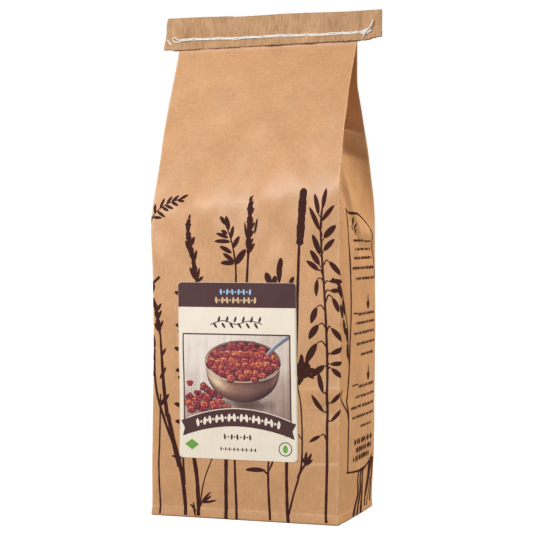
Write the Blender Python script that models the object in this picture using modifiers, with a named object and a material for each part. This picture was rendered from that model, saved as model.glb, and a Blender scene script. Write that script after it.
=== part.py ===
"""A gusseted kraft paper bag, filled, sewn shut through a folded crepe tape, with a stuck-on label.

Metres, +Z up. The origin is the middle of the base on the surface the bag stands on.
X runs across the front panel, and the front panel faces -Y.
"""
import math

import bmesh
import bpy
import numpy as np

# ---- driving dimensions ----
BAG_WIDTH = 0.156
BAG_DEPTH = 0.104
PAPER = 0.0004            # both plies of the kraft wall together
GAP = 0.0003              # clearance between neighbouring faces
MOUTH_Z = 0.402           # top edge of the paper, inside the tape
MOUTH_Y = 0.003           # the gathered mouth leans a little to the back
FRONT_SHOULDER_Z = 0.243  # below this the front panel is upright
FRONT_MEETS_Z = 0.378     # where the front panel reaches the gathered mouth
BACK_SHOULDER_Z = 0.235
BACK_MEETS_Z = 0.345
GUSSET_START_Z = 0.225
LEAN_POWER = 1.5          # a panel leans in slowly at first, then faster
GUSSET_POWER = 1.6
BASE_TUCK = 0.0012        # the bottom fold draws the walls in by this much
BASE_TUCK_HEIGHT = 0.008

TAPE_WIDTH_FOLDED = 0.0265
TAPE_TOP_Z = 0.405
TAPE_LEFT_X = -0.0865
TAPE_RIGHT_X = 0.0985
TAPE_PAPER = 0.0005
TAPE_PINCH = 0.005        # length over which the tape's two leaves close beyond the bag

STITCH_PITCH = 0.0077
STITCH_ABOVE_TAPE_EDGE = 0.0085
CHAIN_RADIUS = 0.0008
BACK_THREAD_RADIUS = 0.00045
CHAIN_SWING = 0.0003      # how far the chain weaves up and down
THREAD_LEFT_X = -0.0845
THREAD_RIGHT_X = 0.0915

LABEL_WIDTH = 0.099
LABEL_HEIGHT = 0.140
LABEL_CENTRE_X = -0.0042
LABEL_LOW_Z = 0.048
LABEL_CORNER = 0.003
LABEL_PAPER = 0.0002

FILL_TOP_Z = 0.118
FILL_CLEARANCE = 0.0008
LUMP_PITCH = 0.013
LUMP_HEIGHT = 0.0025

FRONT_STEPS = 8
GUSSET_STEPS = 3

# half the paper stack where four walls lie on each other at the mouth
FOLD = 2 * PAPER + GAP
STACK_HALF = FOLD + GAP / 2


def clear_scene():
    """Remove every object that is already there."""
    for obj in list(bpy.data.objects):
        bpy.data.objects.remove(obj, do_unlink=True)


def material(name, colour, roughness):
    """A Principled material with the sub-part's own colour and roughness."""
    mat = bpy.data.materials.new(name)
    mat.use_nodes = True
    shader = mat.node_tree.nodes["Principled BSDF"]
    shader.inputs["Base Color"].default_value = (*colour, 1.0)
    shader.inputs["Roughness"].default_value = roughness
    shader.inputs["Metallic"].default_value = 0.0
    return mat


def add_object(name, data, mat, collection):
    """Put a mesh or curve into the part's collection under its node's name."""
    obj = bpy.data.objects.new(name, data)
    data.materials.append(mat)
    collection.objects.link(obj)
    return obj


def ramp(value, low, high):
    """0 below low, 1 above high, straight between."""
    return min(max((value - low) / (high - low), 0.0), 1.0)


def front_y(z):
    """Front panel: upright, then leaning back to the gathered mouth."""
    lean = ramp(z, FRONT_SHOULDER_Z, FRONT_MEETS_Z) ** LEAN_POWER
    return -BAG_DEPTH / 2 + (BAG_DEPTH / 2 + MOUTH_Y - STACK_HALF) * lean


def back_y(z):
    """Back panel: upright, then leaning forward to the gathered mouth."""
    lean = ramp(z, BACK_SHOULDER_Z, BACK_MEETS_Z) ** LEAN_POWER
    return BAG_DEPTH / 2 - (BAG_DEPTH / 2 - MOUTH_Y - STACK_HALF) * lean


def gusset_depth(z):
    """How far the middle of a side panel is folded in."""
    return BAG_DEPTH / 2 * ramp(z, GUSSET_START_Z, FRONT_MEETS_Z) ** GUSSET_POWER


def half_section(z, inset):
    """Right half of the bag's outline at height z, from the front middle to the back middle.

    The front and back panels are straight; the side panel is folded in at its middle, and every
    fold has a short straight across it so that the wall can turn round.
    """
    tuck = BASE_TUCK * (1 - ramp(z, 0.0, BASE_TUCK_HEIGHT)) ** 2 + inset
    half = BAG_WIDTH / 2 - tuck
    front = front_y(z) + tuck
    back = back_y(z) - tuck
    middle = (front + back) / 2
    depth = gusset_depth(z)
    points = [(x, front) for x in np.linspace(0, half, FRONT_STEPS // 2 + 1)]
    for step in np.linspace(0, 1, GUSSET_STEPS):
        y = (front + FOLD) + (middle - GAP / 2 - front - FOLD) * step
        points.append((half - depth * step, y))
    for step in np.linspace(1, 0, GUSSET_STEPS):
        y = (back - FOLD) + (middle + GAP / 2 - back + FOLD) * step
        points.append((half - depth * step, y))
    points += [(x, back) for x in np.linspace(half, 0, FRONT_STEPS // 2 + 1)]
    return points


def full_section(z, inset=0.0):
    """Whole outline at height z, anticlockwise from above, as an array of points."""
    right = half_section(z, inset)
    left = [(-x, y) for x, y in reversed(right[1:-1])]
    return np.array([(x, y, z) for x, y in right + left])


def loft(bm, rings, closed_top):
    """Join rings of equal count into walls, with a flat face below and, if asked, one on top."""
    verts = [[bm.verts.new(point) for point in ring] for ring in rings]
    for low, high in zip(verts, verts[1:]):
        count = len(low)
        for i in range(count):
            j = (i + 1) % count
            bm.faces.new((low[i], low[j], high[j], high[i]))
    bm.faces.new(list(reversed(verts[0])))
    if closed_top:
        bm.faces.new(verts[-1])


def mesh_from(name, build):
    """A mesh filled by a bmesh function."""
    bm = bmesh.new()
    build(bm)
    mesh = bpy.data.meshes.new(name)
    bm.to_mesh(mesh)
    bm.free()
    return mesh


def outer_sack(collection):
    """The paper bag: one lofted skin, open at the gathered mouth, thickened inwards."""
    upright = [0.0, 0.002, 0.005, BASE_TUCK_HEIGHT, 0.12, GUSSET_START_Z]
    leaning = list(np.linspace(GUSSET_START_Z, FRONT_MEETS_Z, 18)[1:])
    rings = [full_section(z) for z in upright + leaning + [MOUTH_Z]]
    mesh = mesh_from("outer_sack", lambda bm: loft(bm, rings, closed_top=False))
    obj = add_object("outer_sack", mesh, material("kraft_paper", (0.61, 0.36, 0.19), 0.85), collection)
    wall = obj.modifiers.new("wall", "SOLIDIFY")
    wall.thickness = PAPER
    wall.offset = -1.0
    wall.use_even_offset = True
    wall.use_quality_normals = True


def berry_fill(collection):
    """The dried fruit as one packed mass: it fills the bag's foot and has a lumpy, heaped top."""
    inset = PAPER + FILL_CLEARANCE
    heights = np.array([inset, 0.006, 0.012, 0.06, FILL_TOP_Z - 0.006])
    rings = [full_section(z, inset) for z in heights]
    outline = rings[-1]
    for shrink, rise in ((0.9, 0.004), (0.72, 0.008), (0.5, 0.011), (0.26, 0.012)):
        ring = outline * (shrink, shrink, 1.0)
        bump = np.sin(ring[:, 0] * math.tau / LUMP_PITCH) * np.cos(ring[:, 1] * math.tau / LUMP_PITCH)
        ring[:, 2] += rise + LUMP_HEIGHT * bump
        rings.append(ring)
    mesh = mesh_from("berry_fill", lambda bm: loft(bm, rings, closed_top=False))

    bm = bmesh.new()
    bm.from_mesh(mesh)
    rim = [edge for edge in bm.edges if edge.is_boundary]
    bmesh.ops.triangle_fill(bm, use_beauty=True, edges=rim)
    bmesh.ops.recalc_face_normals(bm, faces=bm.faces)
    bm.to_mesh(mesh)
    bm.free()
    add_object("berry_fill", mesh, material("dried_fruit", (0.40, 0.10, 0.03), 0.6), collection)


def tape_half(x):
    """Outer half-thickness of the closed tape: round the paper stack, and pinched flat past it."""
    over_bag = STACK_HALF + GAP + TAPE_PAPER
    closed = GAP / 2 + TAPE_PAPER
    past = ramp(abs(x), BAG_WIDTH / 2 + GAP, BAG_WIDTH / 2 + GAP + TAPE_PINCH)
    return over_bag + (closed - over_bag) * past * past * (3 - 2 * past)


def closure_tape(collection):
    """Crepe tape folded over the mouth: a strip bent to an upside-down U, thickened inwards."""
    low = TAPE_TOP_Z - TAPE_WIDTH_FOLDED
    past_bag = [BAG_WIDTH / 2 + GAP + TAPE_PINCH * k / 4 for k in range(5)]
    stations = [TAPE_LEFT_X] + [-x for x in reversed(past_bag)]
    stations += list(np.linspace(-BAG_WIDTH / 2, BAG_WIDTH / 2, 9)[1:-1])
    stations += past_bag + [TAPE_RIGHT_X]
    columns = []
    for x in stations:
        half = tape_half(x)
        crown = [(math.cos(a), math.sin(a)) for a in np.linspace(math.pi, 0, 7)]
        column = [(x, MOUTH_Y - half, low)]
        column += [(x, MOUTH_Y + half * c, TAPE_TOP_Z - half + half * s) for c, s in crown]
        column += [(x, MOUTH_Y + half, low)]
        columns.append(column)

    def build(bm):
        verts = [[bm.verts.new(point) for point in column] for column in columns]
        for left, right in zip(verts, verts[1:]):
            for i in range(len(left) - 1):
                bm.faces.new((left[i], right[i], right[i + 1], left[i + 1]))

    mesh = mesh_from("closure_tape", build)
    obj = add_object("closure_tape", mesh, material("crepe_tape", (0.53, 0.29, 0.15), 0.9), collection)
    wall = obj.modifiers.new("wall", "SOLIDIFY")
    wall.thickness = TAPE_PAPER
    wall.offset = -1.0
    wall.use_even_offset = True


def thread(name, side, radius, swing, mat, collection):
    """A sewn thread laid along one face of the tape as a round-section curve.

    It weaves up and down once a stitch, and stands off the tape's face by the clearance.
    """
    level = TAPE_TOP_Z - TAPE_WIDTH_FOLDED + STITCH_ABOVE_TAPE_EDGE
    count = int((THREAD_RIGHT_X - THREAD_LEFT_X) / STITCH_PITCH * 4) + 1
    curve = bpy.data.curves.new(name, "CURVE")
    curve.dimensions = "3D"
    curve.bevel_depth = radius
    curve.bevel_resolution = 2
    curve.use_fill_caps = True
    spline = curve.splines.new("POLY")
    spline.points.add(count - 1)
    for point, x in zip(spline.points, np.linspace(THREAD_LEFT_X, THREAD_RIGHT_X, count)):
        y = MOUTH_Y + side * (tape_half(x) + GAP + radius)
        z = level + swing * math.sin(x / STITCH_PITCH * math.tau)
        point.co = (x, y, z, 1.0)
    add_object(name, curve, mat, collection)


def front_label(collection):
    """The stuck-on label: a flat outline with rounded corners and the paper's thickness."""
    curve = bpy.data.curves.new("front_label", "CURVE")
    curve.dimensions = "2D"
    curve.fill_mode = "BOTH"
    curve.extrude = LABEL_PAPER / 2
    spline = curve.splines.new("POLY")
    corners = []
    for turn, (sx, sz) in enumerate([(1, 1), (-1, 1), (-1, -1), (1, -1)]):
        centre_x = sx * (LABEL_WIDTH / 2 - LABEL_CORNER)
        centre_z = sz * (LABEL_HEIGHT / 2 - LABEL_CORNER)
        for step in range(5):
            angle = math.radians(90 * turn + 22.5 * step)
            corners.append((centre_x + LABEL_CORNER * math.cos(angle), centre_z + LABEL_CORNER * math.sin(angle)))
    spline.points.add(len(corners) - 1)
    for point, (x, z) in zip(spline.points, corners):
        point.co = (x, z, 0.0, 1.0)
    spline.use_cyclic_u = True
    obj = add_object("front_label", curve, material("label_paper", (0.87, 0.80, 0.68), 0.45), collection)
    obj.rotation_euler = (math.radians(90), 0.0, 0.0)
    obj.location = (
        LABEL_CENTRE_X,
        -BAG_DEPTH / 2 - GAP - LABEL_PAPER / 2,
        LABEL_LOW_Z + LABEL_HEIGHT / 2,
    )


def main():
    clear_scene()
    collection = bpy.data.collections.new("kraft_paper_bag")
    bpy.context.scene.collection.children.link(collection)
    outer_sack(collection)
    berry_fill(collection)
    closure_tape(collection)
    cotton = (0.86, 0.84, 0.79)
    thread("looper_thread", -1, CHAIN_RADIUS, CHAIN_SWING, material("chain_thread", cotton, 0.8), collection)
    thread("needle_thread", 1, BACK_THREAD_RADIUS, 0.0, material("back_thread", cotton, 0.8), collection)
    front_label(collection)


main()
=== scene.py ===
"""Looks for the sewn kraft paper bag: paper, print, label, crepe tape and thread, round the CAD frame.

Metres, +Z up; the front panel faces -Y. Paper-borne things are placed by two numbers on the bag's
own wall: s, the distance round the girth from the middle of the front panel (to the right is
positive), and z, the height.
"""
import math

import bpy
import numpy as np
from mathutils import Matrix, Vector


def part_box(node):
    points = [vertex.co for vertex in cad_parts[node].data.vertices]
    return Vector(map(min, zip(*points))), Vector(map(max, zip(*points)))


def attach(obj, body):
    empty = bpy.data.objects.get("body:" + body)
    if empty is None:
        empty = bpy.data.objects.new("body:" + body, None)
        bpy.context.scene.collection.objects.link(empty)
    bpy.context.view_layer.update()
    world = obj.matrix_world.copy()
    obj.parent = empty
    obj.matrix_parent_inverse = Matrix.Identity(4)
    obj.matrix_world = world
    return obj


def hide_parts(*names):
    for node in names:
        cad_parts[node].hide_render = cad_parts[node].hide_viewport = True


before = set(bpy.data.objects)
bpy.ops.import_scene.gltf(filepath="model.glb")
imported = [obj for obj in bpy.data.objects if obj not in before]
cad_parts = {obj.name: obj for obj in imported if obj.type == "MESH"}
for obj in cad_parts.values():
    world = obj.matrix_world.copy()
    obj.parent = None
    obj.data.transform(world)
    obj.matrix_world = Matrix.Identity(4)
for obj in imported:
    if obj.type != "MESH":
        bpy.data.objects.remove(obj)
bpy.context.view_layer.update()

MM = 0.001
TAU = math.tau

# ---- sizes from the frame ----
sack_low, sack_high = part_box("outer_sack")
tape_low, tape_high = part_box("closure_tape")
label_low, label_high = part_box("front_label")
fill_low, fill_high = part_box("berry_fill")

WIDTH = sack_high.x - sack_low.x
DEPTH = sack_high.y - sack_low.y
GIRTH = 2 * (WIDTH + DEPTH)
MOUTH_Z = sack_high.z
MOUTH_Y = (tape_low.y + tape_high.y) / 2
TAPE_LOW_Z = tape_low.z
LABEL_WIDTH = label_high.x - label_low.x
LABEL_HEIGHT = label_high.z - label_low.z
CORNER_S = WIDTH / 2                # the girth position of the front vertical folds
BACK_CORNER_S = WIDTH / 2 + DEPTH   # and of the back ones

# ---- the paper and how it is folded ----
PAPER = 0.4 * MM
FOLD = 1.1 * MM                     # depth of a fold: two walls and the air between
STACK_HALF = (tape_high.y - tape_low.y) / 2 - 0.8 * MM
SHOULDER_Z = 0.243
GATHER_Z = 0.378
BACK_SHOULDER_Z = 0.235
BACK_GATHER_Z = 0.345
SHELF_Z = 0.309                     # the side panels fold in sharply above this
BOTTOM_FOLD_Z = 7.8 * MM
FOLD_ROUND = 0.35 * MM              # how far round the girth a fold's bend reaches
MOUTH_SKEW = 2.2 * MM               # how much nearer the front the mouth's right end is than its left
FRONT_CREASES = ((0.047, 0.5), (0.091, 0.3), (0.106, 0.24))     # height, and how pale it is: rubbed wear plus a painted highlight along the crease


def srgb(red, green, blue):
    """Linear colour from three 0-255 display values."""
    value = np.array([red, green, blue]) / 255
    linear = np.where(value <= 0.04045, value / 12.92, ((value + 0.055) / 1.055) ** 2.4)
    return (*linear.tolist(), 1.0)


def ramp(value, low, high):
    """0 below low, 1 above high, straight between."""
    return np.clip((value - low) / (high - low), 0.0, 1.0)


def ease(value, low, high):
    """The same with a smooth start and stop."""
    t = ramp(value, low, high)
    return t * t * (3 - 2 * t)


def bell(value, centre, width):
    """A smooth hump of height 1."""
    return np.exp(-((value - centre) / width) ** 2)


# ---------------------------------------------------------------- the bag's wall

def paper_waves(x, z, phase):
    """Slack in the panels: a few crossing waves, at most about a millimetre and a half high together."""
    waves = 0.50 * np.sin(TAU * (x / 0.083 + z / 0.121) + 0.7 + phase)
    waves += 0.36 * np.sin(TAU * (x / 0.052 - z / 0.087) + 2.1 + 2 * phase)
    waves += 0.20 * np.sin(TAU * (x / 0.031 + z / 0.047) + 4.0 + phase)
    waves += 0.12 * np.sin(TAU * (x / 0.019 - z / 0.036) + 1.1 - phase)
    slack = ease(z, 0.0, 0.04) * (1 - 0.7 * ease(z, 0.34, GATHER_Z)) * (0.6 + 0.7 * ease(z, 0.18, 0.24))
    return waves * MM * slack


def front_y(x, z):
    """Front panel: upright and slightly crowned, then leaning back, sooner on the left."""
    rightward = x / (WIDTH / 2)
    power = 1.19 + 0.16 * rightward
    shoulder = SHOULDER_Z + 8.5 * MM * (1 + rightward)
    t = (z - shoulder) / (GATHER_Z - shoulder)
    t = np.clip((t + np.sqrt(t * t + 0.002)) / 2, 0.0, 1.0)
    mouth = MOUTH_Y - STACK_HALF - MOUTH_SKEW * x / WIDTH
    y = -DEPTH / 2 + (DEPTH / 2 + mouth) * t ** power
    across = 1 - (2 * x / WIDTH) ** 2
    y -= 1.3 * MM * across * np.sin(math.pi * ramp(z, 0.0, 0.27)) ** 1.5
    y += 1.5 * MM * across * bell(z, 0.315, 0.035)
    dent = ease(x, 0.042, 0.070)
    y += dent * (1.3 * bell(z, 0.088, 0.006) - 1.1 * bell(z, 0.103, 0.008)) * MM
    y += ease(x, 0.030, 0.060) * 0.35 * MM * np.exp(-np.abs(z - 0.047 - 0.05 * (x - 0.05)) / 0.0018)
    return y + paper_waves(x, z, 0.0) * (1 - 0.5 * ramp(z, 0.36, GATHER_Z))


def back_y(x, z):
    """Back panel: upright, then leaning forward and meeting the front below the tape."""
    lean = ramp(z, BACK_SHOULDER_Z, BACK_GATHER_Z) ** 1.5
    mouth = MOUTH_Y + STACK_HALF - MOUTH_SKEW * x / WIDTH
    y = DEPTH / 2 - (DEPTH / 2 - mouth) * lean
    y -= 4.5 * MM * (1 - ramp(z, 0.0, 0.09)) ** 1.6
    across = 1 - (2 * x / WIDTH) ** 2
    y += 1.5 * MM * across * np.sin(math.pi * ramp(z, 0.0, 0.25)) ** 1.5
    return y - paper_waves(-x, z, 1.9) * (1 - ease(z, 0.31, BACK_GATHER_Z))


def gusset_dent(v, z, side):
    """How far a side panel lies inside its flat place; v runs -1 to 1 from front fold to back fold.

    A slack slope begins at a slanting crease, and above the shelf the panel folds deep inwards.
    """
    across = 1 - v * v
    from_front = np.minimum(v + 1, 1.15)
    slant = 0.264 - 0.029 * from_front - 0.014 * from_front ** 2
    rise = z - slant
    slope = 0.20 * (rise + np.sqrt(rise * rise + 1e-6)) / 2 * (1 - ease(z, SHELF_Z + 0.01, 0.36))
    crease = 0.2990 - 0.0125 * v
    ridges = 2.8 * MM * bell(rise, 0.016, 0.008) - 1.9 * MM * bell(rise, 0.001, 0.007)
    ridges = ridges - 1.8 * MM * bell(z, crease, 0.0045) + 2.4 * MM * ease(z, crease, crease + 0.016)
    tent = 1 - np.sqrt(v * v + 0.0008)
    shelf = SHELF_Z + 0.008 - 0.011 * v
    deep = (DEPTH / 2) * tent * ramp(z, shelf, 0.366) ** 0.5
    bow = 1.3 * MM * across * (np.sin(math.pi * ramp(z, 0.0, 0.26)) ** 1.5 + 0.7 * bell(z, 0.012, 0.03))
    ripple = paper_waves(v * DEPTH / 2, z, 3.1 * side) * across
    return slope * across - ridges * (1 - v ** 6) + deep - bow + ripple * (1 - ease(z, 0.30, 0.34))


def wall_sharp(s, z):
    """The outer face of the paper at girth position s and height z, with knife-sharp folds.

    Front and back panels are height fields in y. A side panel runs straight from fold to fold
    in y, with a short step at each end for the fold's own depth, and is dented in x.
    """
    s = (s + GIRTH / 2) % GIRTH - GIRTH / 2
    side = np.where(s < 0, -1.0, 1.0)
    reach = np.abs(s)
    edge_x = side * WIDTH / 2
    x_front = side * np.minimum(reach, WIDTH / 2)
    x_back = side * np.minimum(GIRTH / 2 - reach, WIDTH / 2)
    t = ramp(reach, CORNER_S, BACK_CORNER_S)
    near, far = front_y(edge_x, z), back_y(edge_x, z)
    turn = FOLD * (ease(t, 0.0, 0.012) + ease(t, 0.988, 1.0))
    y_side = near + turn + (far - near - 2 * FOLD) * t
    x_side = side * (WIDTH / 2 - gusset_dent(2 * t - 1, z, side))
    on_front = reach <= CORNER_S
    on_back = reach >= BACK_CORNER_S
    x = np.where(on_front, x_front, np.where(on_back, x_back, x_side))
    y = np.where(on_front, front_y(x_front, z), np.where(on_back, back_y(x_back, z), y_side))
    inward = 0.6 * MM * ramp(z, 1.5 * MM, BOTTOM_FOLD_Z) * (1 - ease(z, BOTTOM_FOLD_Z, 0.05))
    inward = inward + 0.7 * MM * (1 - ramp(z, 0.0, 1.4 * MM)) ** 2
    x = x * (1 - inward / (WIDTH / 2))
    y = y * (1 - inward / (DEPTH / 2))
    x = x + 0.8 * MM * (1 - ease(z, 0.25, 0.37)) + 0.9 * MM * np.sin(math.pi * ramp(z, 0.0, 0.31)) ** 1.3
    leftward = ramp(-x / (WIDTH / 2), 0.2, 1.0)
    pull = 1.9 * ease(z, 0.31, 0.375) - 2.0 * bell(z, 0.232, 0.026) - 1.3 * bell(z, 0.0, 0.07)
    x = x + leftward * pull * MM
    return np.stack([x, y, np.broadcast_to(z, x.shape)], axis=-1)


def wall(s, z):
    """The outer face with its folds rounded, by averaging three neighbouring places round the girth."""
    s, z = np.broadcast_arrays(np.asarray(s, float), np.asarray(z, float))
    return (wall_sharp(s - FOLD_ROUND, z) + 2 * wall_sharp(s, z) + wall_sharp(s + FOLD_ROUND, z)) / 4


def on_wall(s, z, stand_off):
    """A place that stands off the paper by stand_off along the wall's outward normal."""
    s, z = np.broadcast_arrays(np.asarray(s, float), np.asarray(z, float))
    step = 0.15 * MM
    round_girth = wall(s + step, z) - wall(s - step, z)
    upward = wall(s, z + step) - wall(s, z - step)
    normal = np.cross(round_girth, upward)
    normal /= np.linalg.norm(normal, axis=-1, keepdims=True)
    return wall(s, z) + normal * np.asarray(stand_off)[..., None]


# ---------------------------------------------------------------- meshes

def grid_faces(rows, columns, closed, start=0):
    """Quads of a rows by columns grid of vertices; closed joins the last column to the first."""
    index = np.arange(rows * columns).reshape(rows, columns) + start
    right = np.roll(index, -1, axis=1) if closed else index[:, 1:]
    left = index if closed else index[:, :-1]
    return np.stack([left[:-1], right[:-1], right[1:], left[1:]], axis=-1).reshape(-1, 4)


def new_piece(name, verts, faces, mat, smooth=True, faces_extra=()):
    """A mesh object at the origin that rides on the one body."""
    mesh = bpy.data.meshes.new(name)
    corners = np.asarray(verts).reshape(-1, 3).tolist()
    mesh.from_pydata(corners, [], np.asarray(faces).tolist() + list(faces_extra))
    mesh.update()
    mesh.polygons.foreach_set("use_smooth", np.full(len(mesh.polygons), smooth))
    mesh.materials.append(mat)
    obj = bpy.data.objects.new(name, mesh)
    bpy.context.scene.collection.objects.link(obj)
    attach(obj, "root")
    return obj


def patches_piece(name, patches, mat, smooth=True):
    """One piece from many separate grid patches, each (points, closed)."""
    verts, faces, start = [], [], 0
    for points, closed in patches:
        rows, columns = points.shape[:2]
        verts.append(points.reshape(-1, 3))
        faces.append(grid_faces(rows, columns, closed, start))
        start += rows * columns
    return new_piece(name, np.concatenate(verts), np.concatenate(faces), mat, smooth)


def store(obj, name, values):
    """Store one number for each vertex, for the piece's material to read."""
    attribute = obj.data.attributes.new(name, "FLOAT", "POINT")
    attribute.data.foreach_set("value", np.asarray(values, np.float32).ravel())


def thicken(obj, thickness):
    """A sheet's own thickness, all of it behind the face that was drawn."""
    modifier = obj.modifiers.new("thickness", "SOLIDIFY")
    modifier.thickness = thickness
    modifier.offset = -1.0
    modifier.use_even_offset = False


def smooth_path(points, step):
    """A smooth curve through the given points (each span a cubic that keeps its neighbours' slope)."""
    points = np.asarray(points, float)
    ends = np.concatenate([2 * points[:1] - points[1:2], points, 2 * points[-1:] - points[-2:-1]])
    spans = len(points) - 1
    length = np.linalg.norm(np.diff(points, axis=0), axis=1).sum()
    u = np.linspace(0, spans, max(int(length / step), spans * 3) + 1)
    k = np.minimum(u.astype(int), spans - 1)
    t = (u - k)[:, None]
    a, b, c, d = ends[k], ends[k + 1], ends[k + 2], ends[k + 3]
    return (2 * b + (c - a) * t + (2 * a - 5 * b + 4 * c - d) * t ** 2 + (3 * b - a - 3 * c + d) * t ** 3) / 2


THREAD_SIDES = 10
PLY_TURN = 1.6 * MM                 # how far the two plies take to go once round each other
PLY_DEPTH = 0.16                    # how much they swell the thread, as a share of its radius


def tube(path, radius):
    """A two-ply thread along a path: a tube whose radius swells twice round, turning as it goes.

    The section's axes are +Y made square to the path, and the path's cross product with that.
    """
    path = np.asarray(path, float)
    along = np.gradient(path, axis=0)
    along /= np.linalg.norm(along, axis=1, keepdims=True)
    backward = np.array([0.0, 1.0, 0.0])
    first = backward - along * (along @ backward)[:, None]
    first /= np.linalg.norm(first, axis=1, keepdims=True)
    second = np.cross(along, first)
    run = np.concatenate([[0], np.cumsum(np.linalg.norm(np.diff(path, axis=0), axis=1))])
    angle = np.linspace(0, TAU, THREAD_SIDES, endpoint=False)
    swell = 1 + PLY_DEPTH * np.cos(2 * angle[None, :] - TAU * run[:, None] / PLY_TURN)
    closing = np.sqrt(np.clip(np.minimum(run, run[-1] - run) / radius, 0.0, 1.0))
    around = first[:, None] * np.cos(angle)[None, :, None] + second[:, None] * np.sin(angle)[None, :, None]
    size = np.maximum(radius * swell * closing[:, None], 0.002 * MM)
    return path[:, None] + around * size[..., None]


# ---------------------------------------------------------------- materials

def node_group(name, inputs, outputs):
    """An empty shader group with named sockets, and its input and output nodes."""
    group = bpy.data.node_groups.new(name, "ShaderNodeTree")
    for label, kind, value in inputs:
        socket = group.interface.new_socket(label, in_out="INPUT", socket_type=kind)
        socket.default_value = value
    for label, kind in outputs:
        group.interface.new_socket(label, in_out="OUTPUT", socket_type=kind)
    return group, group.nodes.new("NodeGroupInput"), group.nodes.new("NodeGroupOutput")


def noise(group, vector, scale, detail, roughness=0.5):
    """A noise texture read at a vector socket."""
    node = group.nodes.new("ShaderNodeTexNoise")
    node.inputs["Scale"].default_value = scale
    node.inputs["Detail"].default_value = detail
    node.inputs["Roughness"].default_value = roughness
    group.links.new(vector, node.inputs["Vector"])
    return node.outputs["Fac"]


def stretch(group, vector, scale):
    """The vector scaled differently along each axis, for fibres and streaks."""
    node = group.nodes.new("ShaderNodeMapping")
    node.inputs["Scale"].default_value = scale
    group.links.new(vector, node.inputs["Vector"])
    return node.outputs["Vector"]


def maths(group, operation, first, second):
    """One arithmetic node; either side may be a number or a socket."""
    node = group.nodes.new("ShaderNodeMath")
    node.operation = operation
    for socket, value in zip(node.inputs, (first, second)):
        if isinstance(value, (int, float)):
            socket.default_value = value
        else:
            group.links.new(value, socket)
    return node.outputs[0]


def spread(group, value, low, high, to_low, to_high):
    """A value moved from one range to another."""
    node = group.nodes.new("ShaderNodeMapRange")
    group.links.new(value, node.inputs["Value"])
    for label, number in (("From Min", low), ("From Max", high), ("To Min", to_low), ("To Max", to_high)):
        node.inputs[label].default_value = number
    return node.outputs["Result"]


def mixture(group, parts):
    """The sum of values, each times its weight."""
    total = maths(group, "MULTIPLY", *parts[0])
    for value, weight in parts[1:]:
        total = maths(group, "ADD", total, maths(group, "MULTIPLY", value, weight))
    return total


def colour_ramp(tree, value, stops):
    """A colour for each value, from (place, display colour) stops in order, straight between them."""
    node = tree.nodes.new("ShaderNodeValToRGB")
    elements = node.color_ramp.elements
    for index, (place, colour) in ((0, stops[0]), (1, stops[-1])):
        elements[index].position = place
        elements[index].color = srgb(*colour)
    for place, colour in stops[1:-1]:
        elements.new(place).color = srgb(*colour)
    tree.links.new(value, node.inputs[0])
    return node.outputs[0]


def stored(tree, name):
    """The number that the piece stores at each vertex under this name."""
    node = tree.nodes.new("ShaderNodeAttribute")
    node.attribute_name = name
    return node.outputs["Fac"]


def object_place(tree):
    """The place on the piece, in metres."""
    return tree.nodes.new("ShaderNodeTexCoord").outputs["Object"]


def bump(tree, height, distance, strength=1.0):
    """A bump node for a height, read in metres through its distance."""
    node = tree.nodes.new("ShaderNodeBump")
    node.inputs["Distance"].default_value = distance
    node.inputs["Strength"].default_value = strength
    tree.links.new(height, node.inputs["Height"])
    return node


def paper_tooth():
    """Shared paper effect: cloudy formation, long fibres and fine tooth.

    Puts out the colour shaded by them, the roughness and the bumped normal.
    """
    group, source, result = node_group(
        "paper_tooth",
        [("Color", "NodeSocketColor", (0.5, 0.5, 0.5, 1)), ("Clouds", "NodeSocketFloat", 0.1),
         ("Fibres", "NodeSocketFloat", 0.1), ("Roughness", "NodeSocketFloat", 0.8),
         ("Relief", "NodeSocketFloat", 0.2)],
        [("Color", "NodeSocketColor"), ("Roughness", "NodeSocketFloat"), ("Normal", "NodeSocketVector")])
    place = object_place(group)
    clouds = noise(group, place, 42.0, 4.0, 0.6)
    specks = noise(group, place, 620.0, 3.0, 0.65)
    upright = noise(group, stretch(group, place, (900, 900, 130)), 1.0, 3.0, 0.6)
    lying = noise(group, stretch(group, place, (170, 170, 1100)), 1.0, 2.0, 0.6)
    fibres = mixture(group, [(upright, 0.45), (lying, 0.25), (specks, 0.3)])
    cloud_swing = spread(group, clouds, 0.3, 0.7, -1.0, 1.0)
    fibre_swing = spread(group, fibres, 0.35, 0.65, -1.0, 1.0)
    cloud_gain = maths(group, "MULTIPLY", cloud_swing, source.outputs["Clouds"])
    fibre_gain = maths(group, "MULTIPLY", fibre_swing, source.outputs["Fibres"])
    gain = maths(group, "ADD", maths(group, "ADD", cloud_gain, fibre_gain), 1.0)
    shade = group.nodes.new("ShaderNodeVectorMath")
    shade.operation = "SCALE"
    group.links.new(source.outputs["Color"], shade.inputs[0])
    group.links.new(gain, shade.inputs["Scale"])
    group.links.new(shade.outputs[0], result.inputs["Color"])
    rough = maths(group, "ADD", source.outputs["Roughness"], maths(group, "MULTIPLY", fibre_gain, 0.6))
    group.links.new(rough, result.inputs["Roughness"])
    relief = bump(group, fibres, 0.06 * MM)
    group.links.new(source.outputs["Relief"], relief.inputs["Strength"])
    group.links.new(relief.outputs["Normal"], result.inputs["Normal"])
    return group


PAPER_TOOTH = paper_tooth()


def plain_material(name, specular):
    """A material with its Principled shader, ready for links."""
    mat = bpy.data.materials.new(name)
    mat.use_nodes = True
    shader = mat.node_tree.nodes["Principled BSDF"]
    shader.inputs["Specular IOR Level"].default_value = specular
    return mat, shader


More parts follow.
